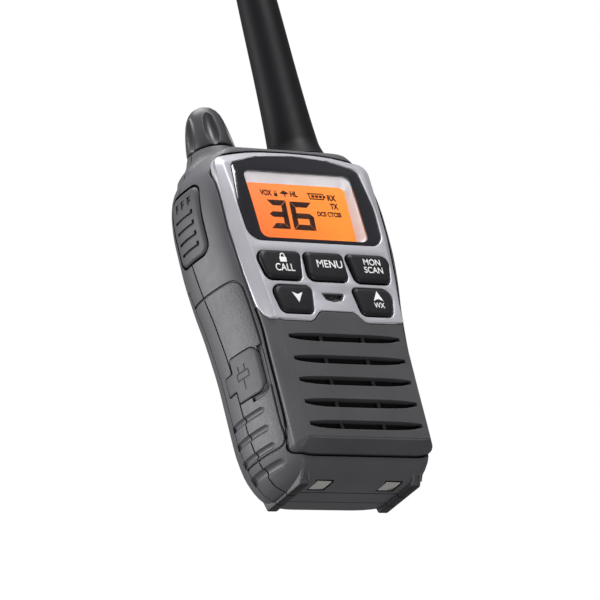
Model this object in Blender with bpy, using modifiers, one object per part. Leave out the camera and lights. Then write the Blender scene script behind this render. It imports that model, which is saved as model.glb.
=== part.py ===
"""Portable two-way radio, modelled as the separate pieces it comes apart into.

The radio stands on two rails under its case. The front faces -Y, the wearer's
clip is at +Y, the volume knob is on the -X side and the antenna on the +X side.
Every size below is in millimetres; meshes are written in metres.
"""
import math

import bmesh
import bpy
from mathutils import Matrix, Vector

MM = 0.001
GAP = 0.3                # clearance between pieces that lie against each other
PROUD = 0.25             # the side covers and the talk key stand this far out of the case
DEPTH_CENTRE = 4.7       # middle of the depth, measured from the case's own zero plane

# Case: the zero plane of y is near the seam between the front and rear housings.
# Each station: height, half width, front face, back face.
CASE_STATIONS = [
    (0.9, 18.8, -7.6, 8.4), (2.4, 20.9, -10.2, 11.4), (5.6, 22.6, -12.9, 13.6),
    (10.5, 24.1, -13.1, 15.0), (17.0, 24.8, -13.0, 15.6), (33.0, 25.0, -12.8, 15.8),
    (46.0, 26.1, -12.5, 15.8), (56.0, 27.6, -12.3, 15.8), (65.0, 28.4, -12.1, 15.8),
    (74.0, 28.5, -11.8, 15.8), (80.0, 28.0, -11.6, 15.7), (85.5, 26.6, -11.4, 15.3),
    (89.5, 24.2, -11.1, 14.4), (92.2, 21.8, -10.9, 13.0), (93.9, 18.8, -9.6, 11.0)]
CASE_BACK = 15.8
CASE_TOP = 93.9
WALL = 2.0
FRONT_WALL = 5.5         # the front wall is thick enough to hold the fascia's recess
SEAM_AT_FOOT = -1.8      # where the seam meets z = 0
DOOR_AT_FOOT = 3.5       # where the battery door's edge meets z = 0
SEAM_SLOPE = 0.038       # both lines lean back by this much per unit of height
DOOR_TOP = 59.2
PARTITION = (0.6, 1.8)   # wall between the electronics and the battery

RAIL_X = (15.1, 18.0)
RAIL_Y = (-10.4, 8.0)

# Fascia: outline and profile shared by the display bezel and the speaker grille.
# Each station: height, half width of the edge, y of the edge.
FASCIA_EDGE = [
    (6.2, 16.6, -12.9), (7.0, 18.8, -13.0), (8.4, 20.1, -13.1), (10.4, 20.6, -13.1),
    (24.0, 20.7, -12.9), (41.0, 20.9, -12.6), (45.4, 21.4, -12.5), (56.0, 22.8, -12.3),
    (68.6, 23.7, -12.0), (80.0, 23.5, -11.7), (86.4, 23.0, -11.5), (88.9, 21.6, -11.4),
    (90.5, 17.2, -11.3), (91.4, 8.0, -11.3), (91.7, 2.5, -11.3)]
FASCIA_BACK = -9.7
FASCIA_SEAT = -9.4
FASCIA_GROOVE = 0.5      # visible gap around the fascia
BEZEL_FACE = [           # height, y of the bezel's front face, inset of its crease
    (41.4, -16.2, 1.2), (50.0, -15.8, 2.2), (60.0, -15.1, 2.7), (65.0, -14.7, 2.8),
    (77.0, -13.8, 2.8), (86.0, -12.8, 2.4), (89.5, -12.3, 2.0), (91.7, -11.9, 0.9)]
GRILLE_TOP = 41.1
TAB = [(-8.4, 40.0), (-8.0, 41.1), (-4.9, 44.1), (4.9, 44.1), (8.0, 41.1), (8.4, 40.0)]
WELL_END = [(10.0, 18.5), (30.0, 4.4)]   # distance from the middle, and y, of the screw wells' slanted end
SLOT_HEIGHTS = [12.85, 18.8, 24.9, 30.8, 36.9]
SLOT_HALF_LENGTH = 16.5
SLOT_HALF_HEIGHT = 1.05
SLOT_END_HEIGHT = 0.12   # half height where a slot runs out
SLOT_STRETCHES = [(-SLOT_HALF_LENGTH, -6.7), (-5.8, 5.8), (6.7, SLOT_HALF_LENGTH)]

LENS_OUTLINE = [(-19.9, 64.4), (19.9, 64.4), (20.4, 75.0), (18.9, 86.9), (10.5, 89.6),
                (0.0, 90.3), (-10.5, 89.6), (-18.9, 86.9), (-20.4, 75.0)]
LENS_RADII = [3.6, 3.6, 20.0, 1.8, 30.0, 60.0, 30.0, 1.8, 20.0]
LENS_THICK = 1.2
WINDOW = (16.0, 65.3, 83.8)     # display frame: half width, bottom, top

KEY_FRONT = -16.64
KEY_STEM_BACK = -9.3
KEY_FLANGE_BACK = -8.5
KEYS = {                        # outline corners and their radii
    "key_call": ([(-20.0, 60.8), (-18.3, 52.9), (-8.2, 52.9), (-6.9, 60.8)], [2.4, 1.8, 1.6, 1.3]),
    "key_menu": ([(-5.5, 60.8), (-6.0, 53.0), (6.0, 53.0), (5.5, 60.8)], [1.4, 1.8, 1.8, 1.4]),
    "key_scan": ([(6.9, 60.8), (8.2, 52.9), (18.3, 52.9), (20.0, 60.8)], [1.3, 1.6, 1.8, 2.4]),
    "key_down": ([(-18.1, 51.1), (-16.4, 43.4), (-7.4, 43.4), (-6.1, 51.1)], [2.4, 1.8, 1.6, 1.3]),
    "key_up": ([(6.1, 51.1), (7.4, 43.4), (16.4, 43.4), (18.1, 51.1)], [1.3, 1.6, 1.8, 2.4])}
MIC_AT = (0.0, 48.3)

SPEAKER_AT = 25.0
SPEAKER_RADIUS = 15.6

KNOB_AT = (-13.3, 2.6)
ANTENNA_AT = (12.5, 2.6)

SCREWS = {                      # x, z, y of the seat under the head, y of the point
    "case_screw_top_left": (-20.6, 84.0, 4.2, -4.8), "case_screw_top_right": (20.6, 84.0, 4.2, -4.8),
    "case_screw_low_left": (-19.3, 14.0, 2.1, -6.4), "case_screw_low_right": (19.3, 14.0, 2.1, -6.4)}

CLIP_AXIS = (22.8, 80.0)        # y, z of the clip's pin


# ---------------------------------------------------------------- scene helpers
def clear_scene():
    for item in list(bpy.data.objects):
        bpy.data.objects.remove(item, do_unlink=True)


def new_collection(name):
    group = bpy.data.collections.new(name)
    bpy.context.scene.collection.children.link(group)
    return group


clear_scene()
PARTS = new_collection("portable_radio")
CUTTERS = new_collection("cutters")
CUTTERS.hide_render = True
CENTRE = bpy.data.objects.new("radio_centre", None)
CENTRE.location = (0.0, -DEPTH_CENTRE * MM, 0.0)
PARTS.objects.link(CENTRE)


def material(name, colour, roughness, metallic=0.0):
    made = bpy.data.materials.get(name)
    if made:
        return made
    made = bpy.data.materials.new(name)
    made.use_nodes = True
    shader = made.node_tree.nodes["Principled BSDF"]
    shader.inputs["Base Color"].default_value = (*colour, 1.0)
    shader.inputs["Roughness"].default_value = roughness
    shader.inputs["Metallic"].default_value = metallic
    return made


HOUSING = material("housing_plastic", (0.10, 0.10, 0.11), 0.55)
SILVER = material("silver_plastic", (0.58, 0.58, 0.62), 0.35, 0.3)
KEY = material("key_rubber", (0.03, 0.03, 0.035), 0.45)
BLACK = material("black_plastic", (0.025, 0.025, 0.03), 0.4)
RUBBER = material("black_rubber", (0.03, 0.03, 0.033), 0.7)
LENS = material("smoked_lens", (0.02, 0.02, 0.025), 0.08)
ORANGE = material("display_orange", (0.9, 0.25, 0.05), 0.4)
BOARD = material("circuit_board", (0.02, 0.16, 0.07), 0.5)
STEEL = material("steel", (0.55, 0.55, 0.56), 0.3, 1.0)
NICKEL = material("nickel", (0.7, 0.68, 0.64), 0.25, 1.0)
CELL = material("battery_sleeve", (0.05, 0.12, 0.35), 0.4)
CLOTH = material("speaker_cloth", (0.02, 0.02, 0.02), 0.9)


def finish_object(name, mesh, look, origin=(0.0, 0.0, 0.0)):
    """Link a mesh as a piece, or as a cutter when it has no look."""
    thing = bpy.data.objects.new(name, mesh)
    place = Vector(origin) * MM
    mesh.transform(Matrix.Translation(-place))
    thing.location = place
    thing.parent = CENTRE
    if look is None:
        CUTTERS.objects.link(thing)
        thing.display_type = "WIRE"
        thing.hide_render = True
    else:
        PARTS.objects.link(thing)
        mesh.materials.append(look)
    return thing


def to_mesh(name, shape):
    bmesh.ops.recalc_face_normals(shape, faces=shape.faces)
    mesh = bpy.data.meshes.new(name)
    shape.to_mesh(mesh)
    shape.free()
    return mesh


def loft(name, rings, look=None, origin=(0.0, 0.0, 0.0)):
    """Close a skin over rings that all have the same number of points."""
    shape = bmesh.new()
    loops = [[shape.verts.new(Vector(p) * MM) for p in ring] for ring in rings]
    count = len(rings[0])
    for low, high in zip(loops, loops[1:]):
        for i in range(count):
            j = (i + 1) % count
            shape.faces.new((low[i], low[j], high[j], high[i]))
    bmesh.ops.triangulate(shape, faces=shape.faces)
    shape.faces.new(loops[0])
    shape.faces.new(loops[-1])
    return finish_object(name, to_mesh(name, shape), look, origin)


def prism(name, outline, axis, low, high, look=None, origin=(0.0, 0.0, 0.0)):
    """Extrude a flat outline along an axis. The outline's two numbers are the other two axes."""
    def point(pair, depth):
        values = list(pair)
        values.insert("XYZ".index(axis), depth)
        return Vector(values) * MM
    shape = bmesh.new()
    face = shape.faces.new([shape.verts.new(point(pair, low)) for pair in outline])
    grown = bmesh.ops.extrude_face_region(shape, geom=[face])["geom"]
    moved = [item for item in grown if isinstance(item, bmesh.types.BMVert)]
    bmesh.ops.translate(shape, verts=moved, vec=point((0.0, 0.0), high - low))
    return finish_object(name, to_mesh(name, shape), look, origin)


def box(name, low, high, look=None, origin=(0.0, 0.0, 0.0)):
    shape = bmesh.new()
    bmesh.ops.create_cube(shape, size=1.0)
    size = [(b - a) * MM for a, b in zip(low, high)]
    middle = [(a + b) / 2 * MM for a, b in zip(low, high)]
    bmesh.ops.scale(shape, vec=size, verts=shape.verts)
    bmesh.ops.translate(shape, vec=middle, verts=shape.verts)
    return finish_object(name, to_mesh(name, shape), look, origin)


def rod(name, axis, middle, low, high, radius, look=None, sides=24, tip=None):
    """A round bar along an axis; middle holds its place on the other two axes."""
    shape = bmesh.new()
    bmesh.ops.create_cone(shape, cap_ends=True, segments=sides, radius1=radius * MM,
                          radius2=(tip or radius) * MM, depth=(high - low) * MM)
    turn = {"X": Matrix.Rotation(math.radians(90), 4, "Y"),
            "Y": Matrix.Rotation(math.radians(-90), 4, "X"), "Z": Matrix.Identity(4)}[axis]
    place = list(middle)
    place.insert("XYZ".index(axis), (low + high) / 2)
    shape.transform(Matrix.Translation(Vector(place) * MM) @ turn)
    return finish_object(name, to_mesh(name, shape), look)


def turned(name, profile, place, look=None, axis="Z", steps=24):
    """Turn a profile of (radius, height) pairs, listed from the top down its outer side."""
    mesh = bpy.data.meshes.new(name)
    points = [(radius * MM, 0.0, height * MM) for radius, height in profile]
    edges = [(i, i + 1) for i in range(len(points) - 1)]
    if profile[0][0] > 0.0:
        edges.append((len(points) - 1, 0))
    mesh.from_pydata(points, edges, [])
    thing = finish_object(name, mesh, look)
    thing.location = Vector(place) * MM
    if axis == "Y":
        thing.rotation_euler.x = math.radians(90)
    screw = thing.modifiers.new("turn", "SCREW")
    screw.steps = steps
    screw.render_steps = steps
    screw.use_merge_vertices = True
    screw.merge_threshold = 0.00002
    screw.use_smooth_shade = True
    return thing


def combine(target, operation, *tools):
    for tool in tools:
        step = target.modifiers.new(operation.lower(), "BOOLEAN")
        step.operation = operation
        step.solver = "EXACT"
        step.object = tool
    return target


def smooth(*things):
    for thing in things:
        thing.data.shade_smooth()
        thing.data.set_sharp_from_angle(angle=math.radians(32))


# ---------------------------------------------------------------- shape helpers
def blend(rows, height):
    """Read a table of (height, value, ...) rows at any height, in straight runs."""
    if height <= rows[0][0]:
        return rows[0][1:]
    for low, high in zip(rows, rows[1:]):
        if height <= high[0]:
            part = (height - low[0]) / (high[0] - low[0])
            return tuple(a + (b - a) * part for a, b in zip(low[1:], high[1:]))
    return rows[-1][1:]


def rounded(corners, radii, steps=3):
    """Round the corners of a flat outline."""
    result = []
    count = len(corners)
    for i, corner in enumerate(corners):
        here = Vector(corner)
        before = (Vector(corners[i - 1]) - here)
        after = (Vector(corners[(i + 1) % count]) - here)
        half = before.angle(after) / 2
        reach = min(radii[i] / math.tan(half), before.length * 0.49, after.length * 0.49)
        start = here + before.normalized() * reach
        end = here + after.normalized() * reach
        for k in range(steps + 1):
            t = k / steps
            result.append(tuple((1 - t) ** 2 * start + 2 * t * (1 - t) * here + t * t * end))
    return result


def grown(outline, amount):
    """Offset a flat outline outwards, whichever way it runs."""
    count = len(outline)
    area = sum(outline[i - 1][0] * outline[i][1] - outline[i][0] * outline[i - 1][1]
               for i in range(count))
    sign = 1.0 if area > 0 else -1.0
    result = []
    for i in range(count):
        back = (Vector(outline[i]) - Vector(outline[i - 1])).normalized()
        ahead = (Vector(outline[(i + 1) % count]) - Vector(outline[i])).normalized()
        side = Vector((back.y + ahead.y, -back.x - ahead.x)) * sign
        side = side / max(side.length_squared / 2, 0.6)
        result.append(tuple(Vector(outline[i]) + side * amount))
    return result


def plate(width, low, high, radius, middle=0.0, steps=4):
    corners = [(middle - width, low), (middle + width, low), (middle + width, high),
               (middle - width, high)]
    return rounded(corners, [radius] * 4, steps)


def case_ring(height, half, front, back):
    """One level section of the case, from the front middle around both sides."""
    flat_front = half - 4.2
    flat_back = 0.42 * half
    turn_front = 0.5
    turn_back = 2.2
    right = []
    for k in range(5):
        t = math.radians(90 * k / 4)
        across = math.sin(t) ** 1.33
        deep = math.cos(t) ** 1.33
        right.append((flat_front + (half - flat_front) * across,
                      turn_front + (front - turn_front) * deep))
    for k in range(7):
        t = math.radians(90 * k / 6)
        right.append((flat_back + (half - flat_back) * math.cos(t),
                      turn_back + (back - turn_back) * math.sin(t)))
    left = [(-x, y) for x, y in reversed(right)]
    return [(x, y, height) for x, y in right + left]


def case_loft(name, grow=0.0, look=None):
    middle = CASE_TOP / 2
    stretch = (middle + grow) / middle
    rings = [case_ring(middle + (z - middle) * stretch, half + grow, front - grow, back + grow)
             for z, half, front, back in CASE_STATIONS]
    return loft(name, rings, look)


def hollow(name):
    """The space inside the case walls."""
    low, high = CASE_STATIONS[0][0] + 2.1, CASE_TOP - 2.5
    run = CASE_TOP - CASE_STATIONS[0][0]
    rings = []
    for z, half, front, back in CASE_STATIONS:
        level = low + (z - CASE_STATIONS[0][0]) * (high - low) / run
        rings.append(case_ring(level, half - WALL, max(front + FRONT_WALL, -7.6), back - WALL))
    return loft(name, rings)


def leaning_block(name, at_foot, front_side, low=-20.0, high=140.0, look=None):
    """Everything in front of, or behind, a plane that leans back along the case."""
    far = -60.0 if front_side else 60.0
    outline = [(at_foot + SEAM_SLOPE * low, low), (far, low), (far, high),
               (at_foot + SEAM_SLOPE * high, high)]
    return prism(name, outline, "X", -60.0, 60.0, look)


def well_limit(side):
    """Everything ahead of a plane that runs inside the wall of one rear corner of the case."""
    outline = [(side * x, y) for x, y in WELL_END]
    outline += [(x, -20.0) for x, y in reversed(outline)]
    return prism("well_limit", outline, "Z", 70.0, 95.0)


# ---------------------------------------------------------------- case
def case_outside():
    """The whole outer form: case, rails, top bosses, grip grooves."""
    outside = case_loft("case_form")
    for side in (-1, 1):
        low, high = sorted((side * RAIL_X[0], side * RAIL_X[1]))
        outline = [(RAIL_Y[0], 3.6), (RAIL_Y[0] + 2.4, 0.0), (RAIL_Y[1], 0.0), (RAIL_Y[1] + 2.0, 6.0),
                   (RAIL_Y[0] + 1.0, 6.0)]
        combine(outside, "UNION", prism(f"rail_{side}", outline, "X", low, high))
    combine(outside, "UNION",
            rod("knob_boss", "Z", KNOB_AT, 88.0, 97.4, 8.6, tip=6.6, sides=28),
            rod("antenna_boss", "Z", ANTENNA_AT, 88.0, 96.0, 9.6, tip=8.4, sides=28))
    core = case_loft("grip_floor", -0.8)
    for number in range(4):
        level = 5.8 + 4.87 * number
        for side in (-1, 1):
            low, high = sorted((side * 12.0, side * 40.0))
            groove = box(f"grip_groove_{number}_{side}", (low, -8.2, level - 0.9),
                         (high, 5.0, level + 0.9))
            combine(groove, "DIFFERENCE", core)
            combine(outside, "DIFFERENCE", groove)
    return outside


def ptt_outline():
    return plate(5.7, 65.0, 84.2, 2.6, middle=-0.5)


def flap_outline(low, high):
    """A side cover with a narrower strap that runs back to its hinge."""
    corners = [(-10.0, low), (-1.0, low), (-1.0, low + 3.4), (2.5, low + 3.4),
               (2.5, high - 3.7), (-1.0, high - 3.7), (-1.0, high), (-10.0, high)]
    return rounded(corners, [2.0, 0.8, 0.4, 0.3, 0.3, 0.4, 0.8, 2.0], 3)


FLAPS = {"usb_flap": (-1, 25.0, 37.0), "headset_flap": (1, 66.0, 78.0)}


def side_openings():
    """Cutters for the side covers, their sockets and the push-to-talk key."""
    tools = []
    floor = case_loft("flap_floor", -1.45)
    for name, (side, low, high) in FLAPS.items():
        near, far = sorted((side * 12.0, side * 40.0))
        pocket = prism(f"{name}_pocket", grown(flap_outline(low, high), GAP), "X", near, far)
        combine(pocket, "DIFFERENCE", floor)
        tools.append(pocket)
    near, far = -40.0, -14.0
    tools.append(prism("usb_opening", plate(1.6, 26.8, 35.2, 1.0, middle=-3.05), "X", near, far))
    tools.append(rod("headset_opening", "X", (-4.2, 72.0), 14.0, 40.0, 2.6, sides=20))
    tools.append(prism("ptt_opening", grown(ptt_outline(), 0.4), "X", near, far))
    return tools


def fascia_cutter(name, grow, back):
    """The fascia's outline as a solid that runs out past the front."""
    rings = []
    rows = [(z, half + grow) for z, half, _ in FASCIA_EDGE]
    rows[0] = (rows[0][0] - grow, rows[0][1] - grow * 0.4)
    rows[-1] = (rows[-1][0] + grow, rows[-1][1])
    for level, half in rows:
        rings.append([(-half, back, level), (-half, -30.0, level), (half, -30.0, level),
                      (half, back, level)])
    return loft(name, rings)


def case_pieces():
    outside = case_outside()
    inside = hollow("case_hollow")
    openings = side_openings()
    top_holes = [rod("knob_hole", "Z", KNOB_AT, 86.0, 110.0, 3.6),
                 rod("antenna_hole", "Z", ANTENNA_AT, 86.0, 110.0, 3.9)]

    front = leaning_block("front_housing", SEAM_AT_FOOT - GAP / 2, True, look=HOUSING)
    combine(front, "INTERSECT", outside)
    combine(front, "DIFFERENCE", inside, fascia_cutter("fascia_recess", FASCIA_GROOVE, FASCIA_SEAT))
    display_opening = [(-18.0, 42.8), (18.0, 42.8), (21.0, 52.0), (21.0, 85.6), (-21.0, 85.6),
                       (-21.0, 52.0)]
    combine(front, "DIFFERENCE", prism("display_opening", display_opening, "Y", -30.0, 0.0),
            rod("speaker_opening", "Y", (0.0, SPEAKER_AT), -30.0, 0.0, SPEAKER_RADIUS + 0.5, sides=40))
    for name, (x, z, seat, point) in SCREWS.items():
        reach = SEAM_AT_FOOT + SEAM_SLOPE * (z - 3.0) - GAP
        combine(front, "UNION", rod(f"{name}_post", "Y", (x, z), -8.2, reach, 2.6, sides=20))
        combine(front, "DIFFERENCE", rod(f"{name}_bore", "Y", (x, z), point - 0.5, 30.0, 1.35, sides=16))
    for side in (-1, 1):
        low, high = sorted((side * 7.6, side * 12.9))
        combine(front, "DIFFERENCE",
                box(f"contact_recess_{side}", (low, -8.4, -2.0), (high, -2.9, 2.0)),
                rod(f"contact_hole_{side}", "Z", (side * 10.25, -5.2), 0.0, 6.0, 1.1, sides=16))
    combine(front, "DIFFERENCE", *openings, *top_holes)

    rear = leaning_block("rear_housing", SEAM_AT_FOOT + GAP / 2, False, look=HOUSING)
    combine(rear, "INTERSECT", outside)
    upper = box("upper_space", (-40, -20, 60.4), (40, 30, 120))
    lower = box("lower_space", (-40, -20, 0), (40, PARTITION[0], 62.0))
    battery = box("battery_space", (-40, PARTITION[1], -1), (40, 30, 58.8))
    for room in (upper, lower, battery):
        combine(room, "INTERSECT", inside)
        combine(rear, "DIFFERENCE", room)
    door_zone = leaning_block("door_zone", DOOR_AT_FOOT, False, high=DOOR_TOP + 0.3)
    combine(rear, "DIFFERENCE", door_zone)
    rail_foot = box("clip_rail_neck", (-3.0, 13.9, 66.0), (3.0, 17.6, 84.0))
    rail_head = box("clip_rail_head", (-5.0, 17.2, 66.0), (5.0, 18.6, 84.0))
    combine(rear, "UNION", rail_foot, rail_head)
    for name, (x, z, seat, point) in SCREWS.items():
        if z > DOOR_TOP:
            start = SEAM_AT_FOOT + SEAM_SLOPE * (z + 3.0) + GAP
            tube = rod(f"{name}_tube", "Y", (x, z), start, 16.0, 3.4, sides=20)
            combine(tube, "INTERSECT", well_limit(math.copysign(1.0, x)))
            combine(rear, "UNION", tube)
            combine(rear, "DIFFERENCE", rod(f"{name}_sink", "Y", (x, z), seat - GAP, 30.0, 2.5, sides=20))
        combine(rear, "DIFFERENCE", rod(f"{name}_way", "Y", (x, z), -10.0, 30.0, 1.4, sides=16))
    combine(rear, "DIFFERENCE", *openings, *top_holes)

    door = leaning_block("battery_door", DOOR_AT_FOOT + GAP, False, high=DOOR_TOP, look=HOUSING)
    combine(door, "INTERSECT", outside)
    combine(door, "DIFFERENCE", inside, box("latch_recess", (-6.3, 14.9, 17.6), (6.3, 30.0, 27.4)),
            box("latch_slot", (-2.5, 10.0, 19.6), (2.5, 30.0, 25.8)))
    smooth(front, rear, door)


# ---------------------------------------------------------------- front fascia
def edge_rings(rows, face, back):
    """Sections of a plate whose face stands forward of its sloping edge."""
    rings = []
    for level in rows:
        half, edge = blend(FASCIA_EDGE, level)
        front, inset = face(level)
        front = min(front, edge - 0.15)
        rings.append([(-half, back, level), (-half, edge, level), (-half + inset, front, level),
                      (half - inset, front, level), (half, edge, level), (half, back, level)])
    return rings


def bezel_face(level):
    """The bezel's front and the inset of its crease at a height."""
    return blend(BEZEL_FACE, level)


def lens_solid(name, outline, front_offset, thickness, look=None):
    """A plate that follows the bezel's leaning face."""
    tool = prism(name, outline, "Y", -30.0, 0.0, look)
    levels = [60.0, 65.0, 77.0, 86.0, 95.0]
    rings = [[(-30.0, bezel_face(z)[0] + front_offset + thickness, z),
              (-30.0, bezel_face(z)[0] + front_offset, z),
              (30.0, bezel_face(z)[0] + front_offset, z),
              (30.0, bezel_face(z)[0] + front_offset + thickness, z)] for z in levels]
    return combine(tool, "INTERSECT", loft(f"{name}_slab", rings))


def fascia_pieces():
    levels = [41.4, 45.4, 50.0, 56.0, 60.0, 65.0, 68.6, 77.0, 80.0, 86.0, 88.9, 90.5, 91.4, 91.7]
    bezel = loft("display_bezel", edge_rings(levels, bezel_face, FASCIA_BACK), SILVER)
    lens_outline = rounded(LENS_OUTLINE, LENS_RADII, 4)
    pocket = lens_solid("lens_pocket", grown(lens_outline, 0.25), -8.0, 9.8)
    half, low, high = WINDOW
    window = box("window_opening", (-half - GAP, -30.0, low - GAP), (half + GAP, 0.0, high + GAP))
    combine(bezel, "DIFFERENCE", pocket, window)
    for name, (corners, radii) in KEYS.items():
        hole = grown(rounded(corners, radii), 0.35)
        combine(bezel, "DIFFERENCE", prism(f"{name}_hole", hole, "Y", -30.0, 0.0))
    combine(bezel, "DIFFERENCE", prism("tab_notch", grown(TAB, 0.25), "Y", -30.0, 0.0),
            rod("mic_pocket", "Y", MIC_AT, -13.4, 0.0, 3.3, sides=24),
            rod("mic_hole", "Y", MIC_AT, -30.0, 0.0, 0.55, sides=12))
    mic_dish = rounded([(-3.3, 49.3), (-2.4, 47.6), (0.0, 47.0), (2.4, 47.6), (3.3, 49.3)],
                       [0.3, 1.0, 3.0, 1.0, 0.3], 3)
    combine(bezel, "DIFFERENCE", prism("mic_dish", mic_dish, "Y", -30.0, -15.0))

    grille_rows = {6.2: (0.2, 0.4), 7.0: (0.9, 0.8), 8.4: (2.2, 1.8), 10.4: (3.3, 2.9)}

    def grille_face(level):
        rise, inset = grille_rows.get(level, (3.6, 2.2))
        return blend(FASCIA_EDGE, level)[1] - rise, inset

    grille = loft("speaker_grille", edge_rings([6.2, 7.0, 8.4, 10.4, 24.0, GRILLE_TOP], grille_face,
                                               FASCIA_BACK), HOUSING)
    combine(grille, "UNION", prism("grille_tab", TAB, "Y", -16.3, FASCIA_BACK))
    combine(grille, "DIFFERENCE", box("grille_hollow", (-16.9, -14.3, 10.8), (16.9, 0.0, 39.2)))
    for row, level in enumerate(SLOT_HEIGHTS):
        for part, (start, end) in enumerate(SLOT_STRETCHES):
            combine(grille, "DIFFERENCE",
                    prism(f"slot_{row}_{part}", slot_outline(level, start, end), "Y", -30.0, -12.0))

    lens_solid("display_lens", lens_outline, 0.3, LENS_THICK, LENS)
    frame = box("display_frame", (-half, -20.0, low), (half, -10.5, high), SILVER)
    behind = lens_solid("frame_front", grown(lens_outline, 6.0), -8.0, 8.0 + 0.3 + LENS_THICK + GAP)
    combine(frame, "DIFFERENCE", behind,
            box("frame_inside", (-half + 0.7, -30, low + 0.7), (half - 0.7, 0, high - 0.7)))
    smooth(bezel, grille)


def slot_outline(level, start, end):
    """One stretch of a sound slot, whose height shrinks towards the slot's two ends."""
    steps = 4
    xs = [start + (end - start) * k / steps for k in range(steps + 1)]

    def half_height(x):
        fullness = math.sqrt(max(1 - (abs(x) / SLOT_HALF_LENGTH) ** 4, 0.0))
        return max(SLOT_HALF_HEIGHT * fullness, SLOT_END_HEIGHT)
    top = [(x, level + half_height(x)) for x in xs]
    return top + [(x, level - half_height(x)) for x in reversed(xs)]


def keys():
    for name, (corners, radii) in KEYS.items():
        outline = rounded(corners, radii)
        depth = [(0.6, KEY_FLANGE_BACK), (0.6, KEY_STEM_BACK), (0.0, KEY_STEM_BACK),
                 (0.0, KEY_FRONT + 0.5), (-0.5, KEY_FRONT)]
        rings = [[(x, y, z) for x, z in grown(outline, grow)] for grow, y in depth]
        smooth(loft(name, rings, KEY))
    box("keypad_membrane", (-17.4, -7.5, 43.6), (17.4, -6.3, 61.8), RUBBER)


# ---------------------------------------------------------------- inside
def display_stack():
    half, low, high = WINDOW
    box("lcd_panel", (-half + 0.9, -11.0, low + 0.9), (half - 0.9, -9.9, high - 0.9), ORANGE)
    box("lcd_backlight", (-half + 0.6, -9.6, low + 0.6), (half - 0.6, -6.5, high - 0.6), SILVER)


def board():
    outline = [(-17.6, 42.0), (-17.6, 85.2), (17.6, 85.2), (17.6, 42.0)]
    outline += [(-16.6, 41.9), (-16.6, 24.0), (-19.8, 24.0), (-19.8, 42.0)]
    prism("main_board", outline[:4][::-1] + outline[7:3:-1], "Y", -6.0, -4.6, BOARD)
    box("radio_shield", (-11.0, -4.3, 64.0), (11.0, -2.0, 80.0), STEEL)
    box("ptt_switch", (-22.4, -4.3, 71.0), (-17.8, -1.2, 78.0), BLACK)
    port = box("usb_port", (-22.3, -4.3, 27.4), (-17.0, -1.8, 34.6), STEEL)
    combine(port, "DIFFERENCE", box("usb_port_inside", (-30.0, -3.9, 27.9), (-18.0, -2.2, 34.1)))
    jack = box("headset_jack", (14.2, -4.3, 68.0), (23.8, 1.7, 76.0), BLACK)
    combine(jack, "DIFFERENCE", rod("headset_jack_bore", "X", (-1.3, 72.0), 16.0, 30.0, 1.8, sides=20))


def speaker():
    place = (0.0, 0.0, SPEAKER_AT)
    turned("speaker_basket", [(15.6, 9.3), (15.6, 8.2), (14.4, 7.6), (8.8, 4.9), (8.4, 4.9),
                              (8.4, 6.2), (13.2, 8.2), (13.2, 9.3)], place, STEEL, "Y")
    turned("speaker_magnet", [(0.0, 6.0), (7.9, 6.0), (7.9, 1.2), (0.0, 1.2)], place, STEEL, "Y")
    turned("speaker_cone", [(0.0, 7.2), (4.0, 7.4), (11.6, 9.2), (12.9, 9.2), (12.9, 8.6),
                            (11.8, 8.6), (4.2, 6.8), (0.0, 6.6)], place, BLACK, "Y")
    box("speaker_cloth", (-16.4, -14.0, 11.2), (16.4, -13.7, 38.8), CLOTH)


def microphone():
    x, z = MIC_AT
    place = (x, 0.0, z)
    turned("microphone_capsule", [(0.0, 12.7), (2.1, 12.7), (2.1, 10.9), (0.0, 10.9)], place, NICKEL,
           "Y", 20)
    turned("microphone_boot", [(2.95, 13.0), (2.95, 10.0), (2.4, 10.0), (2.4, 13.0)], place, RUBBER,
           "Y", 20)


def volume_control():
    x, y = KNOB_AT
    pot = box("volume_pot", (x - 3.7, y - 3.7, 82.0), (x + 3.7, y + 3.7, 88.8), STEEL)
    combine(pot, "UNION", rod("pot_bush", "Z", KNOB_AT, 88.0, 96.8, 3.2))
    combine(pot, "DIFFERENCE", rod("pot_way", "Z", KNOB_AT, 84.0, 100.0, 1.8))
    turned("knob_shaft", [(0.0, 107.0), (1.6, 107.0), (1.6, 84.6), (0.0, 84.6)], (x, y, 0.0), STEEL,
           steps=20)
    rings = []
    profile = [(97.9, 6.1), (99.0, 6.3), (102.0, 6.1), (105.0, 5.6), (108.0, 4.8), (110.2, 3.4),
               (111.0, 1.9)]
    for height, radius in profile:
        depth = 0.9 * math.sin(math.pi * (height - 97.9) / 13.1) + 0.1
        ring = []
        for k in range(48):
            turn = 2 * math.pi * k / 48
            scallop = max(math.cos(3 * turn), 0.0) ** 0.8
            reach = radius - depth * scallop
            ring.append((x + reach * math.cos(turn), y + reach * math.sin(turn), height))
        rings.append(ring)
    knob = loft("volume_knob", rings, HOUSING, (x, y, 97.9))
    combine(knob, "DIFFERENCE", rod("knob_bore", "Z", KNOB_AT, 90.0, 107.3, 1.9, sides=20))
    smooth(knob)


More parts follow.
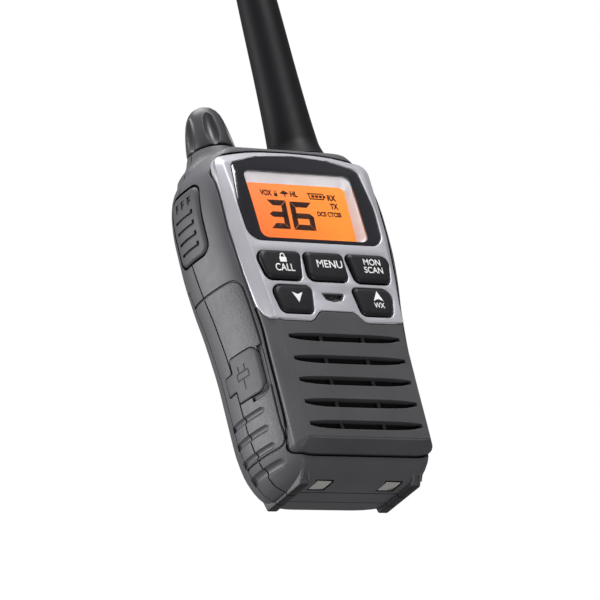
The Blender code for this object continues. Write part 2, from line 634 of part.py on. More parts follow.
def antenna():
    x, y = ANTENNA_AT
    place = (x, y, 0.0)
    turned("antenna_sheath", [(0.0, 160.0), (2.6, 159.4), (4.2, 157.6), (5.0, 154.8), (5.4, 140.0),
                              (5.8, 122.0), (6.7, 101.5), (7.3, 98.6), (8.2, 96.3), (4.3, 96.3),
                              (4.3, 100.0), (1.4, 100.0), (1.4, 150.0), (0.0, 150.0)],
           place, RUBBER, steps=28)
    turned("antenna_whip", [(0.0, 149.4), (1.1, 149.4), (1.1, 99.8), (0.0, 99.8)], place, STEEL, steps=16)
    turned("antenna_stud", [(0.0, 99.5), (3.6, 99.5), (3.6, 84.0), (0.0, 84.0)], place, STEEL, steps=24)
    nut = rod("antenna_nut", "Z", ANTENNA_AT, 87.4, 90.2, 5.8, NICKEL, sides=6)
    combine(nut, "DIFFERENCE", rod("antenna_nut_bore", "Z", ANTENNA_AT, 80.0, 96.0, 3.8))


def side_controls():
    ptt = prism("ptt_button", ptt_outline(), "X", -40.0, -16.0, RUBBER)
    combine(ptt, "INTERSECT", case_loft("ptt_outer", PROUD))
    combine(ptt, "DIFFERENCE", case_loft("ptt_inner", -2.4))
    for number in range(4):
        level = 68.0 + 3.0 * number
        combine(ptt, "DIFFERENCE", box(f"ptt_rib_{number}", (-60.0, -3.8, level - 0.35),
                                       (-28.1, 3.0, level + 0.35)))
    smooth(ptt)
    outer = case_loft("flap_outer", PROUD)
    inner = case_loft("flap_inner", -1.15)
    for name, (side, low, high) in FLAPS.items():
        near, far = sorted((side * 12.0, side * 40.0))
        half = blend(CASE_STATIONS, (low + high) / 2)[0]
        flap = prism(name, flap_outline(low, high), "X", near, far, RUBBER,
                     (side * half, 2.2, (low + high) / 2))
        combine(flap, "INTERSECT", outer)
        combine(flap, "DIFFERENCE", inner)
        plug_far = side * (half - 2.1)
        near, far = sorted((side * (half - 0.6), plug_far))
        if side < 0:
            plug = box("usb_plug", (near, -3.8, 28.4), (far, -2.3, 33.6))
        else:
            plug = rod("headset_plug", "X", (-4.2, 72.0), near, far, 1.6, sides=16)
        combine(flap, "UNION", plug)
        smooth(flap)


def charge_contacts():
    for name, side in (("charge_contact_left", -1), ("charge_contact_right", 1)):
        low, high = sorted((side * 8.1, side * 12.4))
        contact = box(name, (low, -7.9, 1.0), (high, -3.4, 1.7), NICKEL)
        combine(contact, "UNION", rod(f"{name}_stem", "Z", (side * 10.25, -5.2), 1.4, 5.4, 0.8, sides=12))


def battery():
    low, high, back = 11.6, 55.0, 12.7
    pack = rod("battery_pack", "Z", (0.0, back - 5.3), low, high, 5.25, CELL, sides=24)
    for side in (-1, 1):
        combine(pack, "UNION", rod(f"battery_cell_{side}", "Z", (side * 10.6, back - 5.3), low, high,
                                   5.25, sides=24))
    combine(pack, "UNION", box("battery_wrap", (-10.6, back - 7.4, low + 0.6), (10.6, back - 3.2, high - 0.6)))
    for name, side in (("battery_spring_left", -1), ("battery_spring_right", 1)):
        box(name, (side * 10.6 - 3.0, 4.6, 55.2), (side * 10.6 + 3.0, 9.6, 55.8), NICKEL)
    box("battery_plate", (-14.0, 4.6, 7.6), (14.0, 9.6, 8.2), NICKEL)


def fasteners():
    for name, (x, z, seat, point) in SCREWS.items():
        profile = [(0.0, -point), (1.1, -point - 0.4), (1.1, -seat), (2.2, -seat), (2.2, -seat - 1.5),
                   (0.0, -seat - 1.5)]
        turned(name, profile, (x, 0.0, z), STEEL, "Y", 16)


# ---------------------------------------------------------------- door latch and clip
def door_latch():
    latch = box("battery_latch", (-6.0, 15.2, 17.9), (6.0, 16.6, 24.5), BLACK)
    combine(latch, "UNION", box("latch_stem", (-2.2, 12.9, 19.9), (2.2, 15.6, 23.3)),
            box("latch_tongue", (-4.0, 12.7, 18.9), (4.0, 13.5, 24.3)))
    for number in range(3):
        level = 19.6 + 1.6 * number
        combine(latch, "DIFFERENCE", box(f"latch_grip_{number}", (-4.6, 16.2, level - 0.3),
                                         (4.6, 17.0, level + 0.3)))


def belt_clip():
    axis_y, axis_z = CLIP_AXIS
    base = box("clip_base", (-8.0, CASE_BACK + GAP, 64.6), (8.0, 20.4, 88.0), BLACK)
    combine(base, "DIFFERENCE", box("rail_slot_neck", (-3.3, 10.0, 60.0), (3.3, 18.0, 84.3)),
            box("rail_slot_head", (-5.3, 16.9, 60.0), (5.3, 18.9, 84.3)))
    for side in (-1, 1):
        low, high = sorted((side * 5.6, side * 8.0))
        ear = prism(f"clip_ear_{side}", rounded([(19.8, 76.0), (24.4, 77.6), (24.4, 82.4), (19.8, 84.0)],
                                                [0.2, 2.0, 2.0, 0.2], 3), "X", low, high)
        combine(base, "UNION", ear)
    combine(base, "DIFFERENCE", rod("base_pin_hole", "X", CLIP_AXIS, -20.0, 20.0, 1.05, sides=20))

    outer = [(24.2, 89.0), (26.04, 86.0), (26.04, 50.0), (25.2, 42.0), (22.0, 33.0), (18.6, 29.4),
             (16.6, 29.4), (16.4, 30.6), (18.0, 32.6), (21.4, 38.0), (23.2, 44.0), (24.8, 52.0),
             (24.8, 84.0), (23.4, 88.6)]
    arm = prism("clip_arm", outer, "X", -9.0, 9.0, BLACK, (0.0, axis_y, axis_z))
    lug = prism("clip_lug", rounded([(21.0, 77.6), (25.4, 76.0), (25.4, 84.0), (21.0, 82.4)],
                                    [1.8, 0.2, 0.2, 1.8], 3), "X", -5.2, 5.2)
    combine(arm, "UNION", lug)
    combine(arm, "DIFFERENCE", rod("arm_pin_hole", "X", CLIP_AXIS, -20.0, 20.0, 1.05, sides=20),
            box("spring_space", (-3.0, 10.0, 70.0), (3.0, 24.75, 90.0)))
    rod("clip_pin", "X", CLIP_AXIS, -7.9, 7.9, 1.0, STEEL, sides=20)
    clip_spring(axis_y, axis_z)


def clip_spring(axis_y, axis_z):
    """Torsion spring around the pin, with one leg on the base and one on the arm."""
    curve = bpy.data.curves.new("clip_spring", "CURVE")
    curve.dimensions = "3D"
    curve.bevel_depth = 0.3 * MM
    curve.bevel_resolution = 1
    curve.use_fill_caps = True
    turns, steps, radius = 3, 10, 1.6
    points = []
    for k in range(turns * steps + 1):
        angle = 2 * math.pi * k / steps
        points.append((-2.0 + 4.0 * k / (turns * steps), axis_y + radius * math.sin(angle),
                       axis_z - radius * math.cos(angle)))
    points.insert(0, (-2.0, axis_y - 1.2, axis_z - 4.2))
    points.append((2.0, axis_y + 1.1, axis_z - 5.6))
    spline = curve.splines.new("POLY")
    spline.points.add(len(points) - 1)
    for target, point in zip(spline.points, points):
        target.co = (*(Vector(point) * MM), 1.0)
    thing = bpy.data.objects.new("clip_spring", curve)
    thing.parent = CENTRE
    PARTS.objects.link(thing)
    curve.materials.append(STEEL)


case_pieces()
fascia_pieces()
keys()
display_stack()
board()
speaker()
microphone()
volume_control()
antenna()
side_controls()
charge_contacts()
battery()
fasteners()
door_latch()
belt_clip()
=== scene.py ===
# %% [markdown]
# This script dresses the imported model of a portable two-way radio so that it looks finished.
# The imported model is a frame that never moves: every piece made here is built where the frame says
# and rides on one of its bodies. Sizes are written in millimetres and turned into metres at the end.

# %% Load the fixed frame
import math

import bmesh
import bpy
import numpy as np
from mathutils import Matrix, Vector


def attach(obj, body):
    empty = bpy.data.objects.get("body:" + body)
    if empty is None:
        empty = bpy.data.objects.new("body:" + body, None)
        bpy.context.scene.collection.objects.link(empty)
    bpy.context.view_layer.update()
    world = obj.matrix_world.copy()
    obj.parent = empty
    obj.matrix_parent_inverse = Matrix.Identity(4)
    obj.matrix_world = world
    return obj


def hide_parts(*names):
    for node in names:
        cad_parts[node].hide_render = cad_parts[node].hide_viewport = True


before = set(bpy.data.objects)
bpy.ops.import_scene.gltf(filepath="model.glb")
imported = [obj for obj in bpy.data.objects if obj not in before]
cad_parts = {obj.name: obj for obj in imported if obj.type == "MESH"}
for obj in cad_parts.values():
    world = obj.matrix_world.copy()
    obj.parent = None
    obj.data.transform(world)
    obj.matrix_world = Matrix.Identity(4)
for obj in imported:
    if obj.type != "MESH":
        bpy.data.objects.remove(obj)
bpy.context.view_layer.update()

# %% [markdown]
# All the tables below count y from the seam between the two housings. The middle of the radio's
# depth lies 4.7 mm behind it, so one small function shifts a point and turns it into metres.

# %% Points in millimetres, and objects
MM = 0.001
DEPTH_CENTRE = 4.7


def at(x, y, z):
    """A point of the radio, from millimetres to the frame's metres."""
    return Vector((x, y - DEPTH_CENTRE, z)) * MM


def linked(name, data):
    """A new object that stands in the scene."""
    made = bpy.data.objects.new(name, data)
    bpy.context.scene.collection.objects.link(made)
    return made


print("the radio's middle is at", at(0, DEPTH_CENTRE, 80))

# %% [markdown]
# The camera looks at the radio from the lower left with a long lens, which keeps its upright lines
# nearly parallel, and it leans so that the radio stands aslant in the frame.

# %% Camera
TURN, TILT, ROLL = math.radians(-36.28), math.radians(-23.43), math.radians(-13.636)
AIM = (-12.203, 54.496, 1000.0)          # right, up and away, in millimetres
AIM_DROP = 7.7
SIZE = 1.04
away = Vector((math.sin(TURN) * math.cos(TILT), -math.cos(TURN) * math.cos(TILT), math.sin(TILT)))
level = Vector((math.cos(TURN), math.sin(TURN), 0.0))
upward = away.cross(level)
right = math.cos(ROLL) * level + math.sin(ROLL) * upward
above = math.cos(ROLL) * upward - math.sin(ROLL) * level
lens = bpy.data.cameras.new("studio_camera")
lens.lens = 252.0
lens.sensor_width = 36.0
lens.clip_start, lens.clip_end = 0.05, 20.0
camera = linked("studio_camera", lens)
place = (right * AIM[0] + above * AIM[1] + away * AIM[2] - Vector((0.0, 0.0, AIM_DROP))) * SIZE
place.y -= DEPTH_CENTRE
camera.matrix_world = Matrix.Translation(place * MM) @ Matrix((right, above, away)).transposed().to_4x4()
bpy.context.scene.camera = camera
print("camera stands", round(place.length), "mm from the radio")

# %% [markdown]
# Material trees are easier to read when one line makes a node and joins it to what feeds it. The
# helper takes the node's inputs by name or number: a socket is linked, and a number is set.

# %% Node helpers
def add_node(tree, kind, inputs=None, **settings):
    made = tree.nodes.new("ShaderNode" + kind)
    for key, value in settings.items():
        setattr(made, key, value)
    for key, value in (inputs or {}).items():
        if isinstance(value, bpy.types.NodeSocket):
            tree.links.new(value, made.inputs[key])
        else:
            made.inputs[key].default_value = value
    return made


def maths(tree, operation, first, second=0.0, clamp=False):
    return add_node(tree, "Math", {0: first, 1: second}, operation=operation, use_clamp=clamp).outputs[0]


def spread(tree, value, low, high, to_low=0.0, to_high=1.0):
    made = add_node(tree, "MapRange", {"Value": value, "From Min": low, "From Max": high,
                                       "To Min": to_low, "To Max": to_high})
    return made.outputs["Result"]


def mixed(tree, share, first, second):
    made = add_node(tree, "Mix", {0: share, 6: first, 7: second}, data_type="RGBA")
    return made.outputs[2]


def new_group(name, takes, gives):
    group = bpy.data.node_groups.new(name, "ShaderNodeTree")
    for label, default in takes:
        group.interface.new_socket(label, in_out="INPUT",
                                   socket_type="NodeSocketFloat").default_value = default
    for label, kind in gives:
        group.interface.new_socket(label, in_out="OUTPUT", socket_type="NodeSocket" + kind)
    return group, group.nodes.new("NodeGroupInput").outputs, group.nodes.new("NodeGroupOutput").inputs


def use_group(tree, group, **values):
    made = tree.nodes.new("ShaderNodeGroup")
    made.node_tree = group
    for key, value in values.items():
        socket = made.inputs[key.replace("_", " ")]
        if isinstance(value, bpy.types.NodeSocket):
            tree.links.new(value, socket)
        else:
            socket.default_value = value
    return made.outputs


print("node helpers ready")

# %% [markdown]
# Moulded plastic is never perfectly smooth. The steel mould is spark eroded, which leaves a fine
# even grain, and the wall sinks a little as it cools, which leaves slow waves. The same group also
# rounds every cut edge a touch, because no moulded edge is a knife edge.

# %% Moulded grain
grain_group, taken, given = new_group(
    "moulded_grain", [("Grains per metre", 3500.0), ("Grain depth", 0.25), ("Wave depth", 0.1),
                      ("Edge radius", 0.0002)],
    [("Normal", "Vector")])
where = add_node(grain_group, "TexCoord").outputs["Object"]
fine = add_node(grain_group, "TexNoise",
                {"Vector": where, "Scale": taken["Grains per metre"], "Detail": 2.0,
                 "Roughness": 0.6}).outputs["Fac"]
slow = add_node(grain_group, "TexNoise", {"Vector": where, "Scale": 160.0, "Detail": 1.0}).outputs["Fac"]
edge = add_node(grain_group, "Bevel", {"Radius": taken["Edge radius"]}, samples=6).outputs["Normal"]
waves = add_node(grain_group, "Bump", {"Strength": taken["Wave depth"], "Distance": 0.0004, "Height": slow,
                                       "Normal": edge}).outputs["Normal"]
grains = add_node(grain_group, "Bump",
                  {"Strength": taken["Grain depth"], "Distance": 0.00005, "Height": fine,
                   "Normal": waves}).outputs["Normal"]
grain_group.links.new(grains, given["Normal"])
print("group", grain_group.name, "has", len(grain_group.nodes), "nodes")

# %% [markdown]
# Grooves and the sides of steps get a painted shade: ambient occlusion finds them and the finish darkens
# its colour there. Hands polish the edges, and their paler colour is wear and also a painted highlight.
# The difference between a rounded normal and the true one finds the edges.

# %% Painted groove shade, worn and highlighted edges, and handling
groove_group, taken, given = new_group("groove_shade", [("Reach", 0.0012), ("Depth", 0.85)],
                                       [("Open", "Float")])
# Painted shade: how closed in each point is, so that the finish can darken grooves and steps.
found = add_node(groove_group, "AmbientOcclusion", {"Distance": taken["Reach"]}, samples=8).outputs["AO"]
opened = spread(groove_group, found, 0.25, 0.8)
shaded = maths(groove_group, "MULTIPLY", maths(groove_group, "SUBTRACT", 1.0, opened), taken["Depth"])
groove_group.links.new(maths(groove_group, "SUBTRACT", 1.0, shaded, True), given["Open"])

# Edges pale for wear and as a painted highlight: the mask finds where a rounded normal turns from the true
# one.
wear_and_highlight_group, taken, given = new_group("edge_wear_and_highlight", [("Radius", 0.0003), ("Amount", 0.3)],
                                     [("Worn and lit", "Float")])
true_normal = add_node(wear_and_highlight_group, "NewGeometry").outputs["Normal"]
round_normal = add_node(wear_and_highlight_group, "Bevel", {"Radius": taken["Radius"]}, samples=6).outputs["Normal"]
likeness = add_node(wear_and_highlight_group, "VectorMath", {0: true_normal, 1: round_normal},
                    operation="DOT_PRODUCT").outputs["Value"]
breakup = add_node(wear_and_highlight_group, "TexNoise", {"Vector": add_node(wear_and_highlight_group, "TexCoord").outputs["Object"],
                                            "Scale": 900.0, "Detail": 3.0}).outputs["Fac"]
edges = spread(wear_and_highlight_group, likeness, 0.99, 0.8)
broken = maths(wear_and_highlight_group, "MULTIPLY", edges, spread(wear_and_highlight_group, breakup, 0.35, 0.6))
wear_and_highlight_group.links.new(maths(wear_and_highlight_group, "MULTIPLY", broken, taken["Amount"]), given["Worn and lit"])

hand_group, taken, given = new_group("handling", [("Patches per metre", 90.0)],
                                     [("Tone", "Float"), ("Smudge", "Float")])
where = add_node(hand_group, "TexCoord").outputs["Object"]
tone = add_node(hand_group, "TexNoise",
                {"Vector": where, "Scale": taken["Patches per metre"], "Detail": 3.0}).outputs["Fac"]
smear = add_node(hand_group, "TexNoise",
                 {"Vector": where, "Scale": maths(hand_group, "MULTIPLY", taken["Patches per metre"], 4.0),
                  "Detail": 4.0, "Distortion": 1.2}).outputs["Fac"]
hand_group.links.new(spread(hand_group, tone, 0.35, 0.65), given["Tone"])
hand_group.links.new(spread(hand_group, smear, 0.4, 0.7), given["Smudge"])
print("groups", groove_group.name, wear_and_highlight_group.name, hand_group.name)

# %% [markdown]
# Every finish of the radio is the same recipe with its own numbers: a colour that drifts a little,
# darkens in grooves with a painted shade and pales on edges with wear and a painted highlight, a
# roughness that hands have polished in patches, and the moulded grain as its relief. The finish that is
# set the same all over stays on the shader itself.

# %% Finishes
def new_look(name):
    """A new material, its tree and its main shader."""
    look = bpy.data.materials.new(name)
    look.use_nodes = True
    return look, look.node_tree, look.node_tree.nodes["Principled BSDF"]


# groove sets how dark the painted shade in grooves is, and reach how far it looks for them.
def finish(name, colour, roughness, grain=(3500.0, 0.25), waves=0.08, worn=0.25, metallic=0.0, specular=0.5,
           coat=0.0, groove=0.85, reach=0.0012, radius=0.0002, drift=0.08):
    look, tree, shader = new_look(name)
    hands = use_group(tree, hand_group)
    relief = use_group(tree, grain_group, Grains_per_metre=grain[0], Grain_depth=grain[1], Wave_depth=waves,
                       Edge_radius=radius)
    opened = use_group(tree, groove_group, Depth=groove, Reach=reach)["Open"]
    worn_and_lit_edge = use_group(tree, wear_and_highlight_group, Amount=worn, Radius=radius * 1.5)["Worn and lit"]
    dark = tuple(c * (1.0 - drift) for c in colour) + (1.0,)
    pale = tuple(min(c * (1.0 + drift), 1.0) for c in colour) + (1.0,)
    # The paler edge colour is worn plastic and also a painted highlight.
    worn_and_lit_edge_colour = tuple(min(c * 1.9 + 0.03, 1.0) for c in colour) + (1.0,)
    # deep is the painted shade colour that grooves and steps darken to.
    deep = tuple(c * 0.06 for c in colour) + (1.0,)
    base = mixed(tree, hands["Tone"], dark, pale)
    base = mixed(tree, worn_and_lit_edge, base, worn_and_lit_edge_colour)
    # Painted shade: the colour goes towards the deep colour where the grooves close in.
    base = mixed(tree, opened, deep, base)
    tree.links.new(base, shader.inputs["Base Color"])
    rough = maths(tree, "ADD", roughness - 0.02, maths(tree, "MULTIPLY", hands["Smudge"], 0.04))
    rough = maths(tree, "SUBTRACT", rough, maths(tree, "MULTIPLY", worn_and_lit_edge, 0.2), True)
    tree.links.new(rough, shader.inputs["Roughness"])
    tree.links.new(relief["Normal"], shader.inputs["Normal"])
    shader.inputs["Metallic"].default_value = metallic
    shader.inputs["Specular IOR Level"].default_value = specular
    shader.inputs["Coat Weight"].default_value = coat
    return look


# Each finish's groove number is the strength of its painted shade in grooves.
FINISHES = {
    "housing_plastic": finish("housing_plastic", (0.068, 0.067, 0.075), 0.5, (2600.0, 0.45), 0.02,
                              specular=0.4,
                             groove=0.95, drift=0.05),
    "grille_plastic": finish("grille_plastic", (0.055, 0.055, 0.06), 0.48, (2600.0, 0.3), specular=0.4),
    "knob_plastic": finish("knob_plastic", (0.035, 0.034, 0.039), 0.4, (2600.0, 0.25), specular=0.45),
    "silver_plastic": finish("silver_plastic", (0.43, 0.43, 0.465), 0.38, (6000.0, 0.12), 0.04, 0.1, 0.3,
                             groove=0.6,
                             reach=0.0007, drift=0.03),
    "funnel_silver": finish("funnel_silver", (0.62, 0.62, 0.65), 0.4, (6000.0, 0.1), 0.04, 0.1, 0.1,
                            groove=0.0),
    "black_plastic": finish("black_plastic", (0.022, 0.022, 0.025), 0.42, (3000.0, 0.3)),
    "key_rubber": finish("key_rubber", (0.013, 0.013, 0.016), 0.45, (5000.0, 0.12), 0.05, 0.08,
                         specular=0.22, groove=0.9),
    "talk_rubber": finish("talk_rubber", (0.05, 0.049, 0.056), 0.55, (2600.0, 0.45), 0.02, specular=0.4,
                          groove=0.95),
    "black_rubber": finish("black_rubber", (0.005, 0.005, 0.0065), 0.5, (2400.0, 0.3), 0.1, 0.1,
                           specular=0.15),
    "smoked_lens": finish("smoked_lens", (0.009, 0.009, 0.013), 0.1, (9000.0, 0.0), 0.02, 0.05, coat=0.4,
                          groove=0.3),
    "circuit_board": finish("circuit_board", (0.02, 0.16, 0.07), 0.4, (1500.0, 0.3), coat=0.3),
    "steel": finish("steel", (0.5, 0.5, 0.51), 0.32, (4000.0, 0.2), metallic=1.0),
    "nickel": finish("nickel", (0.8, 0.78, 0.74), 0.22, (5000.0, 0.1), metallic=1.0, groove=0.5),
    "battery_sleeve": finish("battery_sleeve", (0.04, 0.1, 0.3), 0.3, (700.0, 0.1), 0.4, coat=0.5),
    "speaker_cloth": finish("speaker_cloth", (0.006, 0.006, 0.006), 0.9, (1200.0, 0.9)),
    "legend_white": finish("legend_white", (0.86, 0.86, 0.86), 0.45, (4000.0, 0.1), worn=0.0, groove=0.0),
    "legend_dark": finish("legend_dark", (0.02, 0.005, 0.002), 0.6, (4000.0, 0.05), worn=0.0, specular=0.05,
                          groove=0.0)}
print(len(FINISHES), "finishes")

# %% [markdown]
# The thumb side of the case carries a rougher pad inside a fine outline. The pad is moulded in one
# with the case, so it is not a piece of its own: a mask in the case's finish makes its grain coarse.

# %% Coarse pad on the flanks
PAD_LOW, PAD_HIGH, PAD_FRONT, PAD_REAR = 9.3, 54.8, -11.7, 5.0


def roughen_pad(look):
    tree = look.node_tree
    axes = add_node(tree, "SeparateXYZ", {0: add_node(tree, "TexCoord").outputs["Object"]}).outputs
    inside = maths(tree, "COMPARE", axes["Z"], (PAD_LOW + PAD_HIGH) / 2 * MM)
    inside.node.inputs[2].default_value = (PAD_HIGH - PAD_LOW) / 2 * MM
    middle = (PAD_FRONT + PAD_REAR) / 2 - DEPTH_CENTRE
    deep = maths(tree, "COMPARE", axes["Y"], middle * MM)
    deep.node.inputs[2].default_value = (PAD_REAR - PAD_FRONT) / 2 * MM
    flank = maths(tree, "GREATER_THAN", maths(tree, "ABSOLUTE", axes["X"]), 19.5 * MM)
    mask = maths(tree, "MULTIPLY", maths(tree, "MULTIPLY", inside, deep), flank)
    relief = next(n for n in tree.nodes if n.type == "GROUP" and n.node_tree == grain_group)
    tree.links.new(spread(tree, mask, 0.0, 1.0, 0.45, 1.6), relief.inputs["Grain depth"])
    tree.links.new(spread(tree, mask, 0.0, 1.0, 2600.0, 1500.0), relief.inputs["Grains per metre"])


roughen_pad(FINISHES["housing_plastic"])
print("pad from z", PAD_LOW, "to", PAD_HIGH)

# %% [markdown]
# The display glows: a backlight behind the glass fills it with orange, redder at the left and more
# yellow towards the top right. The window over it is clear. Light from the lamps would stop at
# clear glass, so rays that look for a lamp pass straight through it.

# %% Glowing display and clear window
def glowing_display():
    look, tree, shader = new_look("display_orange")
    axes = add_node(tree, "SeparateXYZ", {0: add_node(tree, "TexCoord").outputs["Object"]}).outputs
    across = spread(tree, axes["X"], -0.016, 0.012)
    height = spread(tree, axes["Z"], 0.066, 0.083)
    glow = maths(tree, "ADD", maths(tree, "MULTIPLY", across, 0.75), maths(tree, "MULTIPLY", height, 0.25),
                 True)
    grid = add_node(tree, "TexNoise",
                    {"Vector": add_node(tree, "TexCoord").outputs["Object"], "Scale": 350.0}).outputs["Fac"]
    colour = mixed(tree, glow, (1.0, 0.15, 0.03, 1.0), (1.0, 0.34, 0.03, 1.0))
    tree.links.new(colour, shader.inputs["Emission Color"])
    tree.links.new(mixed(tree, grid, (0.2, 0.03, 0.005, 1.0), (0.24, 0.04, 0.008, 1.0)),
                   shader.inputs["Base Color"])
    shader.inputs["Emission Strength"].default_value = 0.9
    shader.inputs["Roughness"].default_value = 0.5
    shader.inputs["Specular IOR Level"].default_value = 0.1
    return look


def clear_window():
    look, tree, shader = new_look("clear_window")
    shader.inputs["Transmission Weight"].default_value = 1.0
    shader.inputs["IOR"].default_value = 1.3
    shader.inputs["Base Color"].default_value = (0.97, 0.97, 0.97, 1.0)
    smudge = use_group(tree, hand_group, Patches_per_metre=140.0)["Smudge"]
    tree.links.new(spread(tree, smudge, 0.0, 1.0, 0.0, 0.04), shader.inputs["Roughness"])
    lamp_ray = add_node(tree, "LightPath").outputs["Is Shadow Ray"]
    passing = add_node(tree, "BsdfTransparent").outputs[0]
    both = add_node(tree, "MixShader", {0: lamp_ray, 1: shader.outputs[0], 2: passing}).outputs[0]
    tree.links.new(both, tree.nodes["Material Output"].inputs["Surface"])
    return look


FINISHES["display_orange"] = glowing_display()
FINISHES["clear_window"] = clear_window()
print("display and window ready")

# %% [markdown]
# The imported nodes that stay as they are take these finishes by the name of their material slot.
# Most of them are inside the case and show only when the battery door is off.

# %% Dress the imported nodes
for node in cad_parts.values():
    for slot in node.material_slots:
        key = slot.material.name.split(".")[0]
        slot.material = FINISHES.get(key, FINISHES["black_plastic"])
print(len(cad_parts), "packed nodes dressed")

# %% [markdown]
# The case is a skin over level sections. Each row of the table gives a height, a half width and the
# front and back of the section. A smooth curve that never overshoots a row joins them, so the case
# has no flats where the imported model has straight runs.

# %% Smooth tables
def through(rows):
    """A smooth reading of a table of (height, value, ...) rows that never overshoots a row."""
    table = np.array(rows, float)
    heights, values = table[:, 0], table[:, 1:]
    steps = np.diff(heights)[:, None]
    slopes = np.diff(values, axis=0) / steps
    rates = np.zeros_like(values)
    same = slopes[:-1] * slopes[1:] > 0
    total = np.where(same, slopes[:-1] + slopes[1:], 1.0)
    rates[1:-1] = np.where(same, 2 * slopes[:-1] * slopes[1:] / total, 0.0)
    rates[0], rates[-1] = slopes[0], slopes[-1]

    def read(height):
        height = min(max(height, heights[0]), heights[-1])
        i = min(int(np.searchsorted(heights, height, side="right")) - 1, len(heights) - 2)
        step = heights[i + 1] - heights[i]
        t = (height - heights[i]) / step
        return tuple((1 + 2 * t) * (1 - t) ** 2 * values[i] + t * (1 - t) ** 2 * step * rates[i]
                     + t * t * (3 - 2 * t) * values[i + 1] + t * t * (t - 1) * step * rates[i + 1])
    return read


CASE_STATIONS = [
    (0.9, 18.8, -7.6, 8.4), (2.4, 20.9, -10.2, 11.4), (5.6, 22.6, -12.9, 13.6),
    (10.5, 24.1, -13.1, 15.0), (17.0, 24.8, -13.0, 15.6), (33.0, 25.0, -12.8, 15.8),
    (46.0, 26.1, -12.5, 15.8), (56.0, 27.6, -12.3, 15.8), (65.0, 28.4, -12.1, 15.8),
    (74.0, 28.5, -11.8, 15.8), (80.0, 28.0, -11.6, 15.7), (85.5, 26.6, -11.4, 15.3),
    (89.5, 24.2, -11.1, 14.4), (92.2, 21.8, -10.9, 13.0), (93.9, 18.0, -9.2, 10.6), (94.7, 13.0, -6.2, 7.8)]
case_at = through(CASE_STATIONS)
FRONT_TURN, REAR_TURN = 0.5, 2.2
CORNER, CORNER_POWER = 4.2, 1.33         # reach and squareness of the front corners
BACK_FLAT, BACK_CURVE = 0.42, 0.58       # shares of the half width that are flat and curved behind
print("half width at z 50 is", round(case_at(50.0)[0], 2))

# %% [markdown]
# Front corners are tight and flattened, and rear corners are wide quarter ellipses. The same two
# formulas run the other way in flank(), which tells how far out the case's side is at any place, so
# covers, keys and grooves can follow it.

# %% Level section and flank
def section(half, front, back):
    """Points of one level section, from the front middle round the right side and back."""
    flat_front, flat_back = half - CORNER, BACK_FLAT * half
    right_side = [(flat_front * k / 8, front) for k in range(8)]
    for k in range(13):
        t = math.radians(90 * k / 12)
        right_side.append((flat_front + CORNER * math.sin(t) ** CORNER_POWER,
                           FRONT_TURN + (front - FRONT_TURN) * math.cos(t) ** CORNER_POWER))
    for k in range(17):
        t = math.radians(90 * k / 16)
        right_side.append((flat_back + (half - flat_back) * math.cos(t),
                           REAR_TURN + (back - REAR_TURN) * math.sin(t)))
    right_side += [(flat_back * (4 - k) / 4, back) for k in range(1, 5)]
    return right_side + [(-x, y) for x, y in reversed(right_side[1:-1])]


def flank(z, y):
    """How far the case's side stands from the middle at a height and depth."""
    half, front, back = case_at(z)
    if y < FRONT_TURN:
        share = min((y - FRONT_TURN) / (front - FRONT_TURN), 1.0) ** (1 / CORNER_POWER)
        return half - CORNER + CORNER * math.sqrt(max(1 - share * share, 0.0)) ** CORNER_POWER
    if y < REAR_TURN:
        return half
    share = min((y - REAR_TURN) / (back - REAR_TURN), 1.0)
    return BACK_FLAT * half + BACK_CURVE * half * math.sqrt(1 - share * share)


print("flank at z 50, y -10:", round(flank(50.0, -10.0), 2), "points in a section:",
      len(section(*case_at(50.0))))

# %% [markdown]
# The shapes are made with bmesh operators and then cut from each other with Booleans, as a maker
# would mill a block. Tools live in a list until they are used, and are removed afterwards.

# %% Mesh helpers
def solid(name, bm):
    """Turn a bmesh in metres into an object with its faces pointing outwards."""
    bmesh.ops.remove_doubles(bm, verts=bm.verts[:], dist=1e-7)
    bmesh.ops.recalc_face_normals(bm, faces=bm.faces[:])
    mesh = bpy.data.meshes.new(name)
    bm.to_mesh(mesh)
    bm.free()
    return linked(name, mesh)


def evaluated(thing):
    """The mesh that an object shows, with its modifiers or its curve turned into faces."""
    return bpy.data.meshes.new_from_object(thing.evaluated_get(bpy.context.evaluated_depsgraph_get()))


def new_verts(step):
    """The vertices made by a bmesh operator."""
    return [item for item in step["geom"] if isinstance(item, bmesh.types.BMVert)]


def settle(thing):
    """Make the result of an object's modifiers its own mesh."""
    mesh = evaluated(thing)
    thing.modifiers.clear()
    thing.data = mesh
    return thing


def carve(thing, operation, *tools):
    """Cut, add or keep the common part with the tools, which are used up."""
    step = thing.modifiers.new("carve", "BOOLEAN")
    step.operation = operation
    step.solver = "EXACT"
    if len(tools) == 1:
        step.object = tools[0]
    else:
        group = bpy.data.collections.new("tools")
        bpy.context.scene.collection.children.link(group)
        for tool in tools:
            group.objects.link(tool)
        step.operand_type = "COLLECTION"
        step.collection = group
    settle(thing)
    for tool in tools:
        bpy.data.objects.remove(tool)
    return thing


def cut(thing, *tools):
    """Cut the tools from a piece, one after the other."""
    for tool in tools:
        carve(thing, "DIFFERENCE", tool)
    return thing


def copied(thing):
    return linked(thing.name + "_copy", thing.data.copy())


def soften(thing, width, segments=3, angle=42.0, clamp=True):
    """Round the edges that turn by more than an angle."""
    step = thing.modifiers.new("round", "BEVEL")
    step.width = width * MM
    step.segments = segments
    step.profile = 0.5
    step.limit_method = "ANGLE"
    step.angle_limit = math.radians(angle)
    step.use_clamp_overlap = clamp
    return settle(thing)


